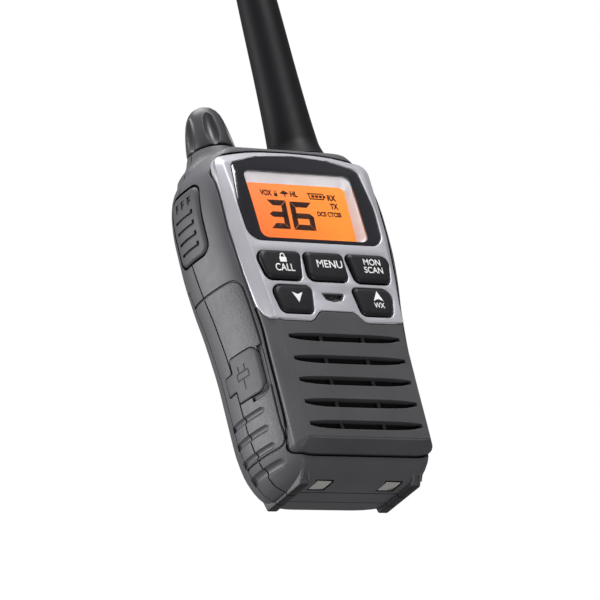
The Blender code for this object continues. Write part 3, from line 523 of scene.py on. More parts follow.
def place_piece(thing, look, body, slot, *nodes, sharp=34.0):
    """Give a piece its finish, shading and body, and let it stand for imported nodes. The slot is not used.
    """
    thing.data.materials.clear()
    thing.data.materials.append(FINISHES[look])
    thing.data.shade_smooth()
    thing.data.set_sharp_from_angle(angle=math.radians(sharp))
    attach(thing, body)
    if nodes:
        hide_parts(*nodes)
    print(thing.name, len(thing.data.polygons), "faces")
    return thing


# %% [markdown]
# Most tools are one of four shapes: a flat outline pushed along an axis, a box, a round bar, and a
# tube along a path. The last one mills grooves that follow a curved surface.

# %% Tool shapes
def push(name, outline, axis, low, high):
    """Extrude a flat outline along an axis. Its two numbers are the other two axes."""
    def corner(pair, depth):
        values = list(pair)
        values.insert("XYZ".index(axis), depth)
        return at(*values)
    bm = bmesh.new()
    face = bm.faces.new([bm.verts.new(corner(pair, low)) for pair in outline])
    moved = new_verts(bmesh.ops.extrude_face_region(bm, geom=[face]))
    bmesh.ops.translate(bm, verts=moved, vec=corner((0, 0), high) - corner((0, 0), low))
    return solid(name, bm)


def block(name, low, high):
    bm = bmesh.new()
    bmesh.ops.create_cube(bm, size=1.0)
    bmesh.ops.scale(bm, vec=(at(*high) - at(*low)), verts=bm.verts)
    bmesh.ops.translate(bm, vec=(at(*high) + at(*low)) / 2, verts=bm.verts)
    return solid(name, bm)


def bar(name, axis, middle, low, high, radius, sides=48):
    bm = bmesh.new()
    bmesh.ops.create_cone(bm, cap_ends=True, segments=sides, radius1=radius * MM, radius2=radius * MM,
                          depth=(high - low) * MM)
    turn = {"X": Matrix.Rotation(math.radians(90), 4, "Y"), "Y": Matrix.Rotation(math.radians(-90), 4, "X"),
            "Z": Matrix.Identity(4)}[axis]
    values = list(middle)
    values.insert("XYZ".index(axis), (low + high) / 2)
    bm.transform(Matrix.Translation(at(*values)) @ turn)
    return solid(name, bm)


def tube(name, path, radius, closed=False, sides=3):
    curve = bpy.data.curves.new(name, "CURVE")
    curve.dimensions = "3D"
    curve.bevel_depth = radius * MM
    curve.bevel_resolution = sides
    curve.use_fill_caps = True
    spline = curve.splines.new("POLY")
    spline.points.add(len(path) - 1)
    spline.use_cyclic_u = closed
    for point, place in zip(spline.points, path):
        point.co = (*at(*place), 1.0)
    thing = linked(name, curve)
    mesh = evaluated(thing)
    bpy.data.objects.remove(thing)
    bm = bmesh.new()
    bm.from_mesh(mesh)
    return solid(name, bm)


def spun(name, profile, place, steps=64, axis="Z"):
    """Spin a profile of (radius, height) pairs right round an axis through a place."""
    bm = bmesh.new()
    points = [bm.verts.new((radius * MM, 0.0, height * MM)) for radius, height in profile]
    rim = [bm.edges.new(pair) for pair in zip(points, points[1:])]
    bmesh.ops.spin(bm, geom=points + rim, cent=(0, 0, 0), axis=(0, 0, 1), angle=2 * math.pi, steps=steps,
                   use_merge=True)
    bmesh.ops.remove_doubles(bm, verts=bm.verts[:], dist=2e-6)
    turn = Matrix.Rotation(math.radians(90), 4, "X") if axis == "Y" else Matrix.Identity(4)
    bm.transform(Matrix.Translation(at(*place)) @ turn)
    return solid(name, bm)


# %% [markdown]
# Outlines are drawn as corners and then rounded, and an outline can be grown to leave a gap.

# %% Outlines
def rounded(corners, radii, steps=6):
    """The corners of an outline turned into true arcs."""
    made = []
    for i, corner in enumerate(corners):
        here = Vector(corner)
        before = Vector(corners[i - 1]) - here
        after = Vector(corners[(i + 1) % len(corners)]) - here
        half_angle = before.angle(after) / 2
        reach = min(radii[i] / math.tan(half_angle), before.length * 0.49, after.length * 0.49)
        start, end = here + before.normalized() * reach, here + after.normalized() * reach
        inward = (before.normalized() + after.normalized()).normalized()
        centre = here + inward * reach / math.cos(half_angle)
        for k in range(steps + 1):
            t = k / steps
            share = math.tan((math.pi / 2 - half_angle) * (2 * t - 1)) / math.tan(math.pi / 2 - half_angle)
            ray = start * (1 - share) / 2 + end * (1 + share) / 2 - centre
            made.append(tuple(centre + ray.normalized() * (start - centre).length))
    return made


def grown(outline, amount):
    count = len(outline)
    area = sum(outline[i - 1][0] * outline[i][1] - outline[i][0] * outline[i - 1][1] for i in range(count))
    sign = math.copysign(1.0, area)
    made = []
    for i in range(count):
        back = (Vector(outline[i]) - Vector(outline[i - 1])).normalized()
        ahead = (Vector(outline[(i + 1) % count]) - Vector(outline[i])).normalized()
        side = Vector((back.y + ahead.y, -back.x - ahead.x)) * sign
        made.append(tuple(Vector(outline[i]) + side / max(side.length_squared / 2, 0.6) * amount))
    return made


def plate(width, low, high, radius, middle=0.0, steps=6):
    corners = [(middle - width, low), (middle + width, low), (middle + width, high), (middle - width, high)]
    return rounded(corners, [radius] * 4, steps)


def shoulder(inset, width):
    """What is left of a round shoulder's rise at an inset: all at the rim, none past its width."""
    t = min(inset / width, 1.0)
    return 1.0 - math.sqrt(max(1.0 - (1.0 - t) ** 2, 0.0))


def symmetrical(side, top, steps):
    """A rounded outline, from the corners (x, z, radius) of its right side and its top middle."""
    x, z, radius = side[0]
    corners = [(-x, z, radius)] + side + [top] + [(-x, z, radius) for x, z, radius in reversed(side[1:])]
    return rounded([corner[:2] for corner in corners], [corner[2] for corner in corners], steps)


def crowned(name, outline, depths, front, back, across=(), along=()):
    """A closed plate with a shaped face: the outline is inset at each depth, cut across and along into
    strips, and then each point is moved to front(u, v, depth) while its copy goes to back(u, v)."""
    bm = bmesh.new()
    inward = bm.verts.layers.float.new("inward")
    face = bm.faces.new([bm.verts.new((u, v, 0.0)) for u, v in outline])
    reached = 0.0
    for depth in depths:
        bmesh.ops.inset_region(bm, faces=[face], thickness=depth - reached, use_boundary=True,
                               use_even_offset=True)
        for vert in face.verts:
            vert[inward] = depth
        reached = depth
    for normal, values in (((1, 0, 0), across), ((0, 1, 0), along)):
        for value in values:
            bmesh.ops.bisect_plane(bm, geom=bm.verts[:] + bm.edges[:] + bm.faces[:], dist=1e-4,
                                   plane_co=Vector(normal) * value, plane_no=normal)
    copies = set(new_verts(bmesh.ops.extrude_face_region(bm, geom=bm.faces[:])))
    for vert in bm.verts:
        u, v = vert.co.x, vert.co.y
        vert.co = back(u, v) if vert in copies else front(u, v, vert[inward])
    return solid(name, bm)


# %% [markdown]
# The whole outer form comes first: the skin over the level sections, the two rails it stands on,
# and the collars under the knob and the antenna, whose flared profile runs into the shoulders.

# %% Outer form
RAIL_X, RAIL_Y = (15.1, 18.0), (-10.4, 8.0)
KNOB_AT, ANTENNA_AT = (-13.3, 2.6), (12.5, 2.6)


def skin(name, rows):
    """Extrude a ring of points from section to section. Each row: height, half width, front, back."""
    bm = bmesh.new()
    order = bm.verts.layers.int.new("order")
    count = len(section(*rows[0][1:]))
    ring = bmesh.ops.create_circle(bm, segments=count, radius=1.0, cap_ends=True)["verts"]
    for number, vert in enumerate(ring):
        vert[order] = number
    edges = list(bm.edges)
    for number, (height, *shape) in enumerate(rows):
        if number:
            step = bmesh.ops.extrude_edge_only(bm, edges=edges)
            ring = new_verts(step)
            edges = [item for item in step["geom"] if isinstance(item, bmesh.types.BMEdge)
                     and all(v in set(ring) for v in item.verts)]
        points = section(*shape)
        for vert in ring:
            vert.co = at(*points[vert[order]], height)
    bmesh.ops.contextual_create(bm, geom=edges)
    bmesh.ops.triangulate(bm, faces=[f for f in bm.faces if len(f.verts) == 4])
    return solid(name, bm)


heights = ([0.9, 1.3, 1.8, 2.4, 3.2, 4.2, 5.4] + [6.5 + 1.75 * k for k in range(49)]
           + [91.6, 92.3, 92.9, 93.4, 93.8, 94.2, 94.5, 94.7])
outer = skin("outer_form", [(h, *case_at(h)) for h in heights])
for side in (-1, 1):
    low, high = sorted((side * RAIL_X[0], side * RAIL_X[1]))
    outline = [(RAIL_Y[0], 3.6), (RAIL_Y[0] + 2.4, 0.0), (RAIL_Y[1], 0.0), (RAIL_Y[1] + 2.0, 6.0),
               (RAIL_Y[0] + 1.0, 6.0)]
    rail = soften(push(f"rail_{side}", outline, "X", low, high), 0.35, 2)
    carve(outer, "UNION", rail)
    for offset in (-1.0, 1.0):
        x = side * (RAIL_X[0] + RAIL_X[1]) / 2 + offset
        carve(outer, "UNION", tube(f"rail_rib_{offset}", [(x, -8.8, 1.2), (x, -11.3, 4.6)], 0.55, sides=6))
knob_collar = [(0, 97.4), (6.3, 97.4), (6.6, 97.2), (6.75, 96.8), (7.1, 95.6), (7.7, 94.2), (8.6, 93.0),
               (9.6, 92.0), (10.4, 91.0), (10.8, 89.5), (10.9, 86.0), (0, 86.0)]
antenna_collar = [(0, 96.0), (8.1, 96.0), (8.4, 95.8), (8.6, 95.3), (8.9, 94.6), (9.4, 93.6), (10.1, 92.6),
                  (10.8, 91.4), (11.2, 89.8), (11.3, 86.0), (0, 86.0)]
carve(outer, "UNION", spun("knob_collar", knob_collar, (*KNOB_AT, 0), 72),
      spun("antenna_collar", antenna_collar, (*ANTENNA_AT, 0), 72))
print("outer form", len(outer.data.polygons), "faces")

# %% [markdown]
# Grooves are milled with tubes that follow the flank: four grip grooves low on each side, the fine
# outline round the coarse pad, and the finger channel in front of each socket cover.

# %% Grooves on the flanks
def on_flank(side, y, z, out=0.0):
    return (side * (flank(z, y) + out), y, z)


def dense(points, step=1.0):
    made = []
    for (y0, z0), (y1, z1) in zip(points, points[1:]):
        count = max(int(math.hypot(y1 - y0, z1 - z0) / step), 1)
        made += [(y0 + (y1 - y0) * k / count, z0 + (z1 - z0) * k / count) for k in range(count)]
    return made + [points[-1]]


def open_round(corners, radius, step=1.0):
    """A path through corners whose inner corners are rounded."""
    ends = [corners[0]]
    for before, here, after in zip(corners, corners[1:], corners[2:]):
        here = Vector(here)
        one, two = (Vector(before) - here).normalized(), (Vector(after) - here).normalized()
        for k in range(7):
            t = k / 6
            ends.append(tuple((1 - t) ** 2 * (here + one * radius) + 2 * t * (1 - t) * here
                              + t * t * (here + two * radius)))
    return dense(ends + [corners[-1]], step)


HEADSET_AT = (-4.2, 72.0)
FLAPS = {"usb_flap": (-1, 25.0, 37.0), "headset_flap": (1, 66.0, 78.0)}
grooves = []
for side in (-1, 1):
    for number in range(4):
        z = 5.8 + 4.87 * number
        radius, out = ((1.5, 0.75) if number == 0 else (1.05, 0.4))
        path = [on_flank(side, -8.6 + 0.68 * k, z, out + (1.3 if k == 0 else 0.35 if k == 1 else 0.0))
                for k in range(21)]
        grooves.append(tube(f"grip_{number}_{side}", path, radius, sides=4))
    pad_line = open_round([(5.9, PAD_HIGH), (-11.7, PAD_HIGH), (-11.5, PAD_LOW), (3.9, PAD_LOW)], 3.2)
    grooves.append(tube(f"pad_line_{side}", [on_flank(side, y, z, -0.12) for y, z in pad_line], 0.33))
for name, (side, low, high) in FLAPS.items():
    channel = open_round([(-10.9, high - 0.3), (-10.9, low - 0.9), (-5.5, low - 0.9)], 2.6, 0.7)
    grooves.append(tube(f"{name}_channel", [on_flank(side, y, z, 0.05) for y, z in channel], 0.72))
cut(outer, *grooves)
print("milled", len(grooves), "grooves,", len(outer.data.polygons), "faces")

# %% [markdown]
# The case splits into a front housing, a rear housing and the sliding battery door. The cuts lean
# back by 0.038 of the height, and a hair's gap is left between the pieces, as on the real case.

# %% Split the case
SEAM_SLOPE, SEAM_GAP = 0.038, 0.42
SEAM_AT_FOOT, DOOR_AT_FOOT, DOOR_TOP = -1.8, 3.5, 59.2
PARTITION = (0.6, 1.8)
AHEAD = (-30.0, 0.0)                     # how far tools that cut the front reach, in y
FASCIA_EDGE = [
    (6.2, 16.6, -12.9), (7.0, 18.8, -13.0), (8.4, 20.1, -13.1), (10.4, 20.6, -13.1),
    (24.0, 20.7, -12.9), (41.0, 20.9, -12.6), (45.4, 21.4, -12.5), (56.0, 22.8, -12.3),
    (68.6, 23.7, -12.0), (80.0, 23.5, -11.7), (86.4, 23.0, -11.5), (88.9, 21.6, -11.4),
    (90.5, 17.2, -11.3), (91.4, 8.0, -11.3), (91.7, 2.5, -11.3)]
FASCIA_OUTLINE = symmetrical(
    [(16.2, 6.2, 14), (20.6, 7.0, 4.2), (20.7, 24.0, 60), (20.9, 41.0, 60), (22.8, 56.0, 60),
     (23.75, 68.6, 30), (23.6, 80.0, 30), (23.4, 89.2, 3.4), (12.0, 91.5, 60)], (0.0, 91.75, 60), 8)
SCREWS = {"case_screw_top_left": (-20.6, 84.0, 4.2, -4.8), "case_screw_top_right": (20.6, 84.0, 4.2, -4.8),
          "case_screw_low_left": (-19.3, 14.0, 2.1, -6.4), "case_screw_low_right": (19.3, 14.0, 2.1, -6.4)}


def leaning(name, at_foot, ahead, low=-20.0, high=140.0):
    far = -60.0 if ahead else 60.0
    return push(name, [(at_foot + SEAM_SLOPE * low, low), (far, low), (far, high),
                       (at_foot + SEAM_SLOPE * high, high)],
                "X", -60.0, 60.0)


def hollow(name):
    rows = []
    for z, half, front, back in CASE_STATIONS[:-1]:
        height = 3.0 + (z - 0.9) * 88.4 / 93.0
        rows.append((height, half - 2.0, max(front + 5.5, -7.6), back - 2.0))
    return skin(name, rows)


def flap_outline(low, high):
    corners = [(-10.0, low), (-1.0, low), (-1.0, low + 3.4), (2.5, low + 3.4),
               (2.5, high - 3.7), (-1.0, high - 3.7), (-1.0, high), (-10.0, high)]
    return rounded(corners, [2.0, 0.8, 0.4, 0.3, 0.3, 0.4, 0.8, 2.0], 5)


def follow(name, side, outline, outside, inside, depths=(), proud=None, step=1.6):
    """A plate on the flank, between two distances from the case's surface."""
    proud = proud or (lambda depth: outside)
    ys, zs = [p[0] for p in outline], [p[1] for p in outline]
    across = np.arange(min(ys) + step / 2, max(ys), step)
    along = np.arange(min(zs) + step, max(zs), step * 1.6)
    return crowned(name, outline, depths, lambda y, z, d: at(side * (flank(z, y) + proud(d)), y, z),
                   lambda y, z: at(side * (flank(z, y) + inside), y, z), across, along)


TALK = plate(5.7, 65.0, 84.2, 2.6, middle=-0.5, steps=8)
TALK_ROOM = grown(TALK, 0.7)


def side_tools():
    tools = [follow(f"{name}_pocket", side, grown(flap_outline(low, high), 0.3), 3.0, -1.45)
             for name, (side, low, high) in FLAPS.items()]
    tools.append(push("usb_opening", plate(1.6, 26.8, 35.2, 1.0, middle=-3.05), "X", -40.0, -14.0))
    tools.append(bar("headset_opening", "X", HEADSET_AT, 14.0, 40.0, 2.6))
    tools.append(push("talk_opening", TALK_ROOM, "X", -40.0, -14.0))
    tools.append(bar("knob_hole", "Z", KNOB_AT, 84.0, 110.0, 3.6))
    tools.append(bar("antenna_hole", "Z", ANTENNA_AT, 84.0, 110.0, 3.9))
    return tools


cut(outer, *side_tools())
front_housing = carve(leaning("front_case", SEAM_AT_FOOT - SEAM_GAP / 2, True), "INTERSECT", copied(outer))
recess = push("recess", grown(FASCIA_OUTLINE, 0.6), "Y", -30.0, -9.4)
opening = push("opening", [(-18.0, 42.8), (18.0, 42.8), (21.0, 52.0), (21.0, 85.6), (-21.0, 85.6),
                           (-21.0, 52.0)], "Y", *AHEAD)
cut(front_housing, hollow("room"), recess, opening, bar("sound_opening", "Y", (0.0, 25.0), *AHEAD, 16.1))
for side in (-1, 1):
    low, high = sorted((side * 7.6, side * 12.9))
    cut(front_housing, block(f"contact_recess_{side}", (low, -8.4, -2.0), (high, -2.9, 2.0)))
    cut(front_housing, bar(f"contact_hole_{side}", "Z", (side * 10.25, -5.2), 0.0, 6.0, 1.1, 24))
for name, (x, z, seat, point) in SCREWS.items():
    reach = SEAM_AT_FOOT + SEAM_SLOPE * (z - 3.0) - SEAM_GAP
    carve(front_housing, "UNION", bar(f"{name}_post", "Y", (x, z), -8.2, reach, 2.6, 32))
    cut(front_housing, bar(f"{name}_bore", "Y", (x, z), point - 0.5, 30.0, 1.35, 24))
cut(front_housing, push("talk_travel", TALK_ROOM, "X", -40.0, -21.9))
place_piece(front_housing, "housing_plastic", "radio_body", "housing_plastic", "front_housing")

# %% [markdown]
# The rear housing holds the electronics above and in front of a partition, and the battery behind
# it. Two deep wells take the upper case screws, and a rail on its back carries the belt clip.

# %% Rear housing
WELL_END = [(10.0, 18.5), (30.0, 4.4)]   # distance from the middle, and y, of the wells' slanted end
rear_housing = carve(leaning("rear_case", SEAM_AT_FOOT + SEAM_GAP / 2, False), "INTERSECT", copied(outer))
for name, low, high in (("upper_room", (-40, -20, 60.4), (40, 30, 120)),
                        ("lower_room", (-40, -20, 0), (40, PARTITION[0], 62.0)),
                        ("battery_room", (-40, PARTITION[1], -1), (40, 30, 58.8))):
    cut(rear_housing, carve(block(name, low, high), "INTERSECT", hollow("room")))
cut(rear_housing, leaning("door_zone", DOOR_AT_FOOT, False, high=DOOR_TOP + 0.3))
clip_rail = soften(block("clip_rail_head", (-5.0, 17.2, 66.0), (5.0, 18.6, 84.0)), 0.25, 2)
carve(rear_housing, "UNION", clip_rail, block("clip_rail_neck", (-3.0, 13.9, 66.2), (3.0, 17.8, 83.8)))
for name, (x, z, seat, point) in SCREWS.items():
    if z < DOOR_TOP:
        cut(rear_housing, bar(f"{name}_way", "Y", (x, z), -10.0, 30.0, 1.4, 24))
        continue
    start = SEAM_AT_FOOT + SEAM_SLOPE * (z + 3.0) + 0.3
    side = math.copysign(1.0, x)
    ahead = ([(side * far, y) for far, y in WELL_END]
             + [(side * far, -20.0) for far, y in reversed(WELL_END)])
    tube_piece = carve(bar(f"{name}_tube", "Y", (x, z), start, 16.0, 3.4, 32), "INTERSECT",
                       push("ahead", ahead, "Z", 70.0, 95.0))
    carve(rear_housing, "UNION", tube_piece)
    cut(rear_housing, bar(f"{name}_sink", "Y", (x, z), seat - 0.3, 30.0, 2.5, 32))
    cut(rear_housing, bar(f"{name}_way", "Y", (x, z), -10.0, 30.0, 1.4, 24))
cut(rear_housing, push("talk_travel", TALK_ROOM, "X", -40.0, -23.3))
place_piece(rear_housing, "housing_plastic", "radio_body", "housing_plastic", "rear_housing")

# %% [markdown]
# The battery door carries a sunken panel with finger ridges, so that a thumb can push it down, and
# a recess for its latch.

# %% Battery door
door = carve(leaning("door_shell", DOOR_AT_FOOT + 0.3, False, high=DOOR_TOP), "INTERSECT", outer)
cut(door, hollow("room"))
cut(door, soften(block("latch_recess", (-6.3, 14.9, 17.6), (6.3, 30.0, 27.4)), 0.4, 2))
cut(door, block("latch_slot", (-2.5, 10.0, 19.6), (2.5, 30.0, 25.8)))
panel = rounded([(-10.0, 29.5), (10.0, 29.5), (10.0, 56.0), (-10.0, 56.0)], [2.2] * 4, 8)
line = [(x, 15.85, z) for x, z in panel]
cut(door, tube("panel_line", line, 0.35, closed=True))
for number in range(5):
    z = 46.0 + 2.0 * number
    cut(door, tube(f"ridge_{number}", [(-7.5 + 1.5 * k, 15.85, z) for k in range(11)], 0.45))
place_piece(door, "housing_plastic", "door", "housing_plastic", "battery_door")

# %% [markdown]
# The fascia is two plates that share one outline: the silver bezel above and the speaker grille
# below. Both are cut from a crowned plate: the outline is inset ring by ring, and each ring is
# lifted along the sloping band until it meets the flat face at a crease.

# %% Fascia plates
BEZEL_FACE = [(41.4, -16.2, 1.9), (50.0, -15.8, 2.5), (60.0, -15.1, 2.8), (65.0, -14.7, 2.8),
              (77.0, -13.8, 2.8), (86.0, -12.8, 2.4), (89.5, -12.3, 2.0), (91.7, -11.9, 0.9)]
edge_at, face_at = through(FASCIA_EDGE), through(BEZEL_FACE)
GRILLE_RISE, GRILLE_BAND, GRILLE_LIMIT = 3.6, 2.7, -16.6
TAB = [(0.0, 44.1), (4.7, 44.1), (5.6, 43.6), (7.5, 41.6), (8.6, 41.1), (16.2, 41.1), (18.4, 41.35),
       (19.8, 42.2), (20.7, 43.6), (21.6, 46.5), (24.5, 50.0)]
PARTING = [(-x, z) for x, z in reversed(TAB[1:])] + TAB


def bezel_front(x, z, inset):
    edge = edge_at(z)[1]
    front, band = face_at(z)
    share = min(inset / band, 1.0)
    return at(x, edge + (front - edge) * min(share * 0.94 + 0.06 * min(inset / 0.3, 1.0), 1.0), z)


def grille_front(x, z, inset):
    edge = edge_at(z)[1]
    share = min(inset / GRILLE_BAND, 1.0)
    rise = GRILLE_RISE * min(share * 0.93 + 0.07 * min(inset / 0.3, 1.0), 1.0)
    return at(x, max(edge - rise, GRILLE_LIMIT), z)


def fascia_back(x, z):
    return at(x, -9.7, z)


bands = [0.15, 0.3, 0.9, 1.4, 1.9, 2.3, 2.55, 2.8]
bezel = crowned("bezel", FASCIA_OUTLINE, bands, bezel_front, fascia_back, along=np.arange(34.0, 91.5, 1.9))
grille = crowned("grille", FASCIA_OUTLINE, [0.15, 0.3, 1.0, 1.8, 2.4, 2.7, 2.9], grille_front, fascia_back,
                 along=np.arange(12.0, 50.0, 3.1))
shifted = [(x, z + 0.15) for x, z in PARTING]
cut(bezel, push("below", [(24.5, -5.0), (-24.5, -5.0)] + shifted, "Y", *AHEAD))
shifted = [(x, z - 0.17) for x, z in PARTING]
cut(grille, push("upper", [(24.5, 99.0), (-24.5, 99.0)] + shifted, "Y", *AHEAD))
print("bezel", len(bezel.data.polygons), "grille", len(grille.data.polygons))

# %% [markdown]
# The bezel is pierced for the keys, the lens and the microphone. Each hole's rim is rounded by a
# bevel afterwards, which gives the bright thin line above every key.

# %% Pierce the bezel
LENS_OUTLINE = symmetrical([(19.9, 64.4, 3.6), (20.4, 75.0, 20), (18.9, 86.9, 1.8), (10.5, 89.6, 30)],
                           (0.0, 90.3, 60), 7)
KEYS = {
    "key_call": ([(-20.0, 60.8), (-18.3, 52.9), (-8.2, 52.9), (-6.9, 60.8)], [2.4, 1.8, 1.6, 1.3]),
    "key_menu": ([(-5.5, 60.8), (-6.0, 53.0), (6.0, 53.0), (5.5, 60.8)], [1.4, 1.8, 1.8, 1.4]),
    "key_scan": ([(6.9, 60.8), (8.2, 52.9), (18.3, 52.9), (20.0, 60.8)], [1.3, 1.6, 1.8, 2.4]),
    "key_down": ([(-18.1, 51.1), (-16.4, 43.4), (-7.4, 43.4), (-6.1, 51.1)], [2.4, 1.8, 1.6, 1.3]),
    "key_up": ([(6.1, 51.1), (7.4, 43.4), (16.4, 43.4), (18.1, 51.1)], [1.3, 1.6, 1.8, 2.4])}
WINDOW_HALF, WINDOW_LOW, WINDOW_TOP = 16.0, 65.3, 85.3
PANEL_TOP = 83.8
MIC_AT = (0.0, 48.3)


def lens_level(offset):
    return lambda x, z, inset=0.0: at(x, face_at(z)[0] + offset, z)


leans = np.arange(66.0, 91.0, 3.0)
cut(bezel, crowned("lens_pocket", grown(LENS_OUTLINE, 0.22), [], lens_level(-6.0), lens_level(1.8),
                   along=leans))
cut(bezel, block("window_opening", (-WINDOW_HALF - 0.3, -30.0, WINDOW_LOW - 0.3),
                 (WINDOW_HALF + 0.3, 0.0, WINDOW_TOP + 0.3)))
for name, (corners, radii) in KEYS.items():
    cut(bezel, push(f"{name}_hole", grown(rounded(corners, radii), 0.35), "Y", *AHEAD))
cut(bezel, bar("mic_pocket", "Y", MIC_AT, -13.4, 0.0, 3.3))
mic_dish = rounded([(-3.4, 49.4), (-2.4, 47.5), (0.0, 46.9), (2.4, 47.5), (3.4, 49.4)],
                   [0.3, 1.0, 3.0, 1.0, 0.3], 6)
cut(bezel, push("mic_dish", mic_dish, "Y", -30.0, -14.6))
soften(bezel, 0.28, 3, 50.0, False)
cut(bezel, bar("mic_hole", "Y", MIC_AT, *AHEAD, 0.5, 24))
place_piece(bezel, "silver_plastic", "radio_body", "silver_plastic", "display_bezel")

# %% [markdown]
# A dark cup sits in the microphone's dish. On the real radio it is the inside of the black housing
# seen through the silver plate, so it is a thin black plate of its own here.

# %% Microphone cup
cup = push("microphone_cup", grown(mic_dish, -0.04), "Y", -15.75, -14.62)
cut(cup, push("cup_room", [(x * 0.84, 48.1 + (z - 48.1) * 0.7) for x, z in mic_dish], "Y", -30.0, -14.9))
cut(cup, bar("cup_hole", "Y", MIC_AT, *AHEAD, 0.5, 24))
soften(cup, 0.06, 2)
place_piece(cup, "black_plastic", "radio_body", "black_plastic")

# %% [markdown]
# Five sound slots cross the grille. Each is widest in the middle, closes to a point at its ends and
# is broken by two upright bars. A shallow wider pocket over each slot gives its sloping lower lip.

# %% Grille slots
SLOT_HEIGHTS = (12.85, 18.8, 24.9, 30.8, 36.9)
STRETCHES = ((-16.5, -6.7), (-5.8, 5.8), (6.7, 16.5))


def slot_outline(z, start, end, fat=0.88, reach=17.3):
    xs = [start + (end - start) * k / 14 for k in range(15)]

    def tall(x):
        return max(fat * math.sqrt(max(1 - (abs(x) / reach) ** 4, 0.0)), 0.08)
    return [(x, z + tall(x)) for x in xs] + [(x, z - tall(x)) for x in reversed(xs)]


cut(grille, block("grille_hollow", (-16.9, -14.3, 10.8), (16.9, 0.0, 39.2)))
for row, z in enumerate(SLOT_HEIGHTS):
    for part, (start, end) in enumerate(STRETCHES):
        cut(grille, push(f"slot_{row}_{part}", slot_outline(z, start, end), "Y", -30.0, -12.0))
    lip = [(x, zz if zz > z else z + (zz - z) * 2.2) for x, zz in slot_outline(z, -17.0, 17.0, 0.9, 17.8)]
    cut(grille, crowned(f"lip_{row}", lip, [], lambda x, zz, d: at(x, -17.3, zz),
                                        lambda x, zz: at(x * 0.95, -15.0,
                                                         zz if zz > z else z + (zz - z) * 0.36)))
place_piece(grille, "grille_plastic", "radio_body", "housing_plastic", "speaker_grille")

# %% [markdown]
# The lens is one moulding with a black border printed behind it and a clear window. The two parts
# are separate pieces here, because one is dark and shiny and the other lets the display through.

# %% Lens border and window
window_line = plate(WINDOW_HALF + 0.05, WINDOW_LOW - 0.05, WINDOW_TOP + 0.05, 2.0)


def lens_front(x, z, inset):
    return at(x, face_at(z)[0] + 0.22 - 0.12 * min(inset / 0.3, 1.0), z)


lens_piece = crowned("lens_border", LENS_OUTLINE, [0.1, 0.3], lens_front, lens_level(0.6), along=leans)
clear = crowned("lens_window", grown(window_line, -0.03), [], lens_front, lens_level(0.45), along=leans)
cut(lens_piece, push("window_cut", window_line, "Y", *AHEAD))
place_piece(lens_piece, "smoked_lens", "radio_body", "smoked_lens", "display_lens")
place_piece(clear, "clear_window", "radio_body", "smoked_lens")

# %% [markdown]
# Behind the window a silver frame funnels down to the glowing panel. Its walls slope, so the top
# and right walls catch the light.

# %% Display frame and panel
frame_outline = plate(WINDOW_HALF, WINDOW_LOW, WINDOW_TOP, 2.0)
display_frame = crowned("frame_funnel", frame_outline, [], lens_level(0.65), lambda x, z: at(x, -10.5, z),
                        along=leans)


def funnel_back(x, z):
    share = (z - WINDOW_LOW) / (WINDOW_TOP - WINDOW_LOW)
    return at(x - (1.1 if x > 0 else -0.25), -10.9,
              WINDOW_LOW + 0.35 + share * (PANEL_TOP - 1.5 - WINDOW_LOW))


funnel_outline = grown(frame_outline, -0.12)
funnel = crowned("funnel_tool", funnel_outline, [], lens_level(0.55), funnel_back, along=leans)
behind = crowned("funnel_exit", funnel_outline, [],
                 lambda x, z, d: funnel_back(x, z) - Vector((0, 0.0001, 0)),
                 lambda x, z: funnel_back(x, z) + Vector((0, 0.001, 0)))
cut(display_frame, funnel, behind)
place_piece(display_frame, "funnel_silver", "radio_body", "silver_plastic", "display_frame")
panel_piece = soften(block("glow_panel", (-WINDOW_HALF + 0.95, -11.0, WINDOW_LOW + 0.95),
                           (WINDOW_HALF - 0.95, -9.95, PANEL_TOP - 0.95)), 0.12, 2)
place_piece(panel_piece, "display_orange", "radio_body", "display_orange", "lcd_panel")

# %% [markdown]
# The figures on the display are seven-segment digits: each segment is a bar with pointed ends that
# leaves a hair's gap to the next one. They lean a little and stand just proud of the panel.

# %% Digits
PANEL_Y, PRINT = -11.02, 0.05             # the marks' place and thickness


def inlay(name, outlines, y, thick, look, body, slot):
    """Flat marks on a face that looks forward: each outline is pushed out by a thickness."""
    bm = bmesh.new()
    for outline in outlines:
        face = bm.faces.new([bm.verts.new(at(x, y, z)) for x, z in outline])
        moved = new_verts(bmesh.ops.extrude_face_region(bm, geom=[face]))
        bmesh.ops.translate(bm, verts=moved, vec=(0.0, -thick * MM, 0.0))
    return place_piece(solid(name, bm), look, body, slot)


def digit(x, z, wide, tall, thick, lit, lean=0.04):
    """Outlines of the lit segments of a digit whose lower left corner is at x, z."""
    t, g, m = thick, 0.07, tall / 2
    bars = {
        "a": [(g, tall), (wide - g, tall), (wide - t - g, tall - t), (t + g, tall - t)],
        "d": [(g, 0), (wide - g, 0), (wide - t - g, t), (t + g, t)],
        "g": [(g * 2, m), (t * 0.75, m + t / 2), (wide - t * 0.75, m + t / 2), (wide - g * 2, m),
              (wide - t * 0.75, m - t / 2),
              (t * 0.75, m - t / 2)],
        "b": [(wide, tall - g), (wide, m + g), (wide - t * 0.6, m + g), (wide - t, m + t * 0.55),
              (wide - t, tall - t - g)],
        "c": [(wide, m - g), (wide, g), (wide - t, t + g), (wide - t, m - t * 0.55),
              (wide - t * 0.6, m - g)],
        "f": [(0, tall - g), (0, m + g), (t * 0.6, m + g), (t, m + t * 0.55), (t, tall - t - g)],
        "e": [(0, m - g), (0, g), (t, t + g), (t, m - t * 0.55), (t * 0.6, m - g)]}
    return [[(x + u + lean * (v - m), z + v) for u, v in bars[key]] for key in lit]


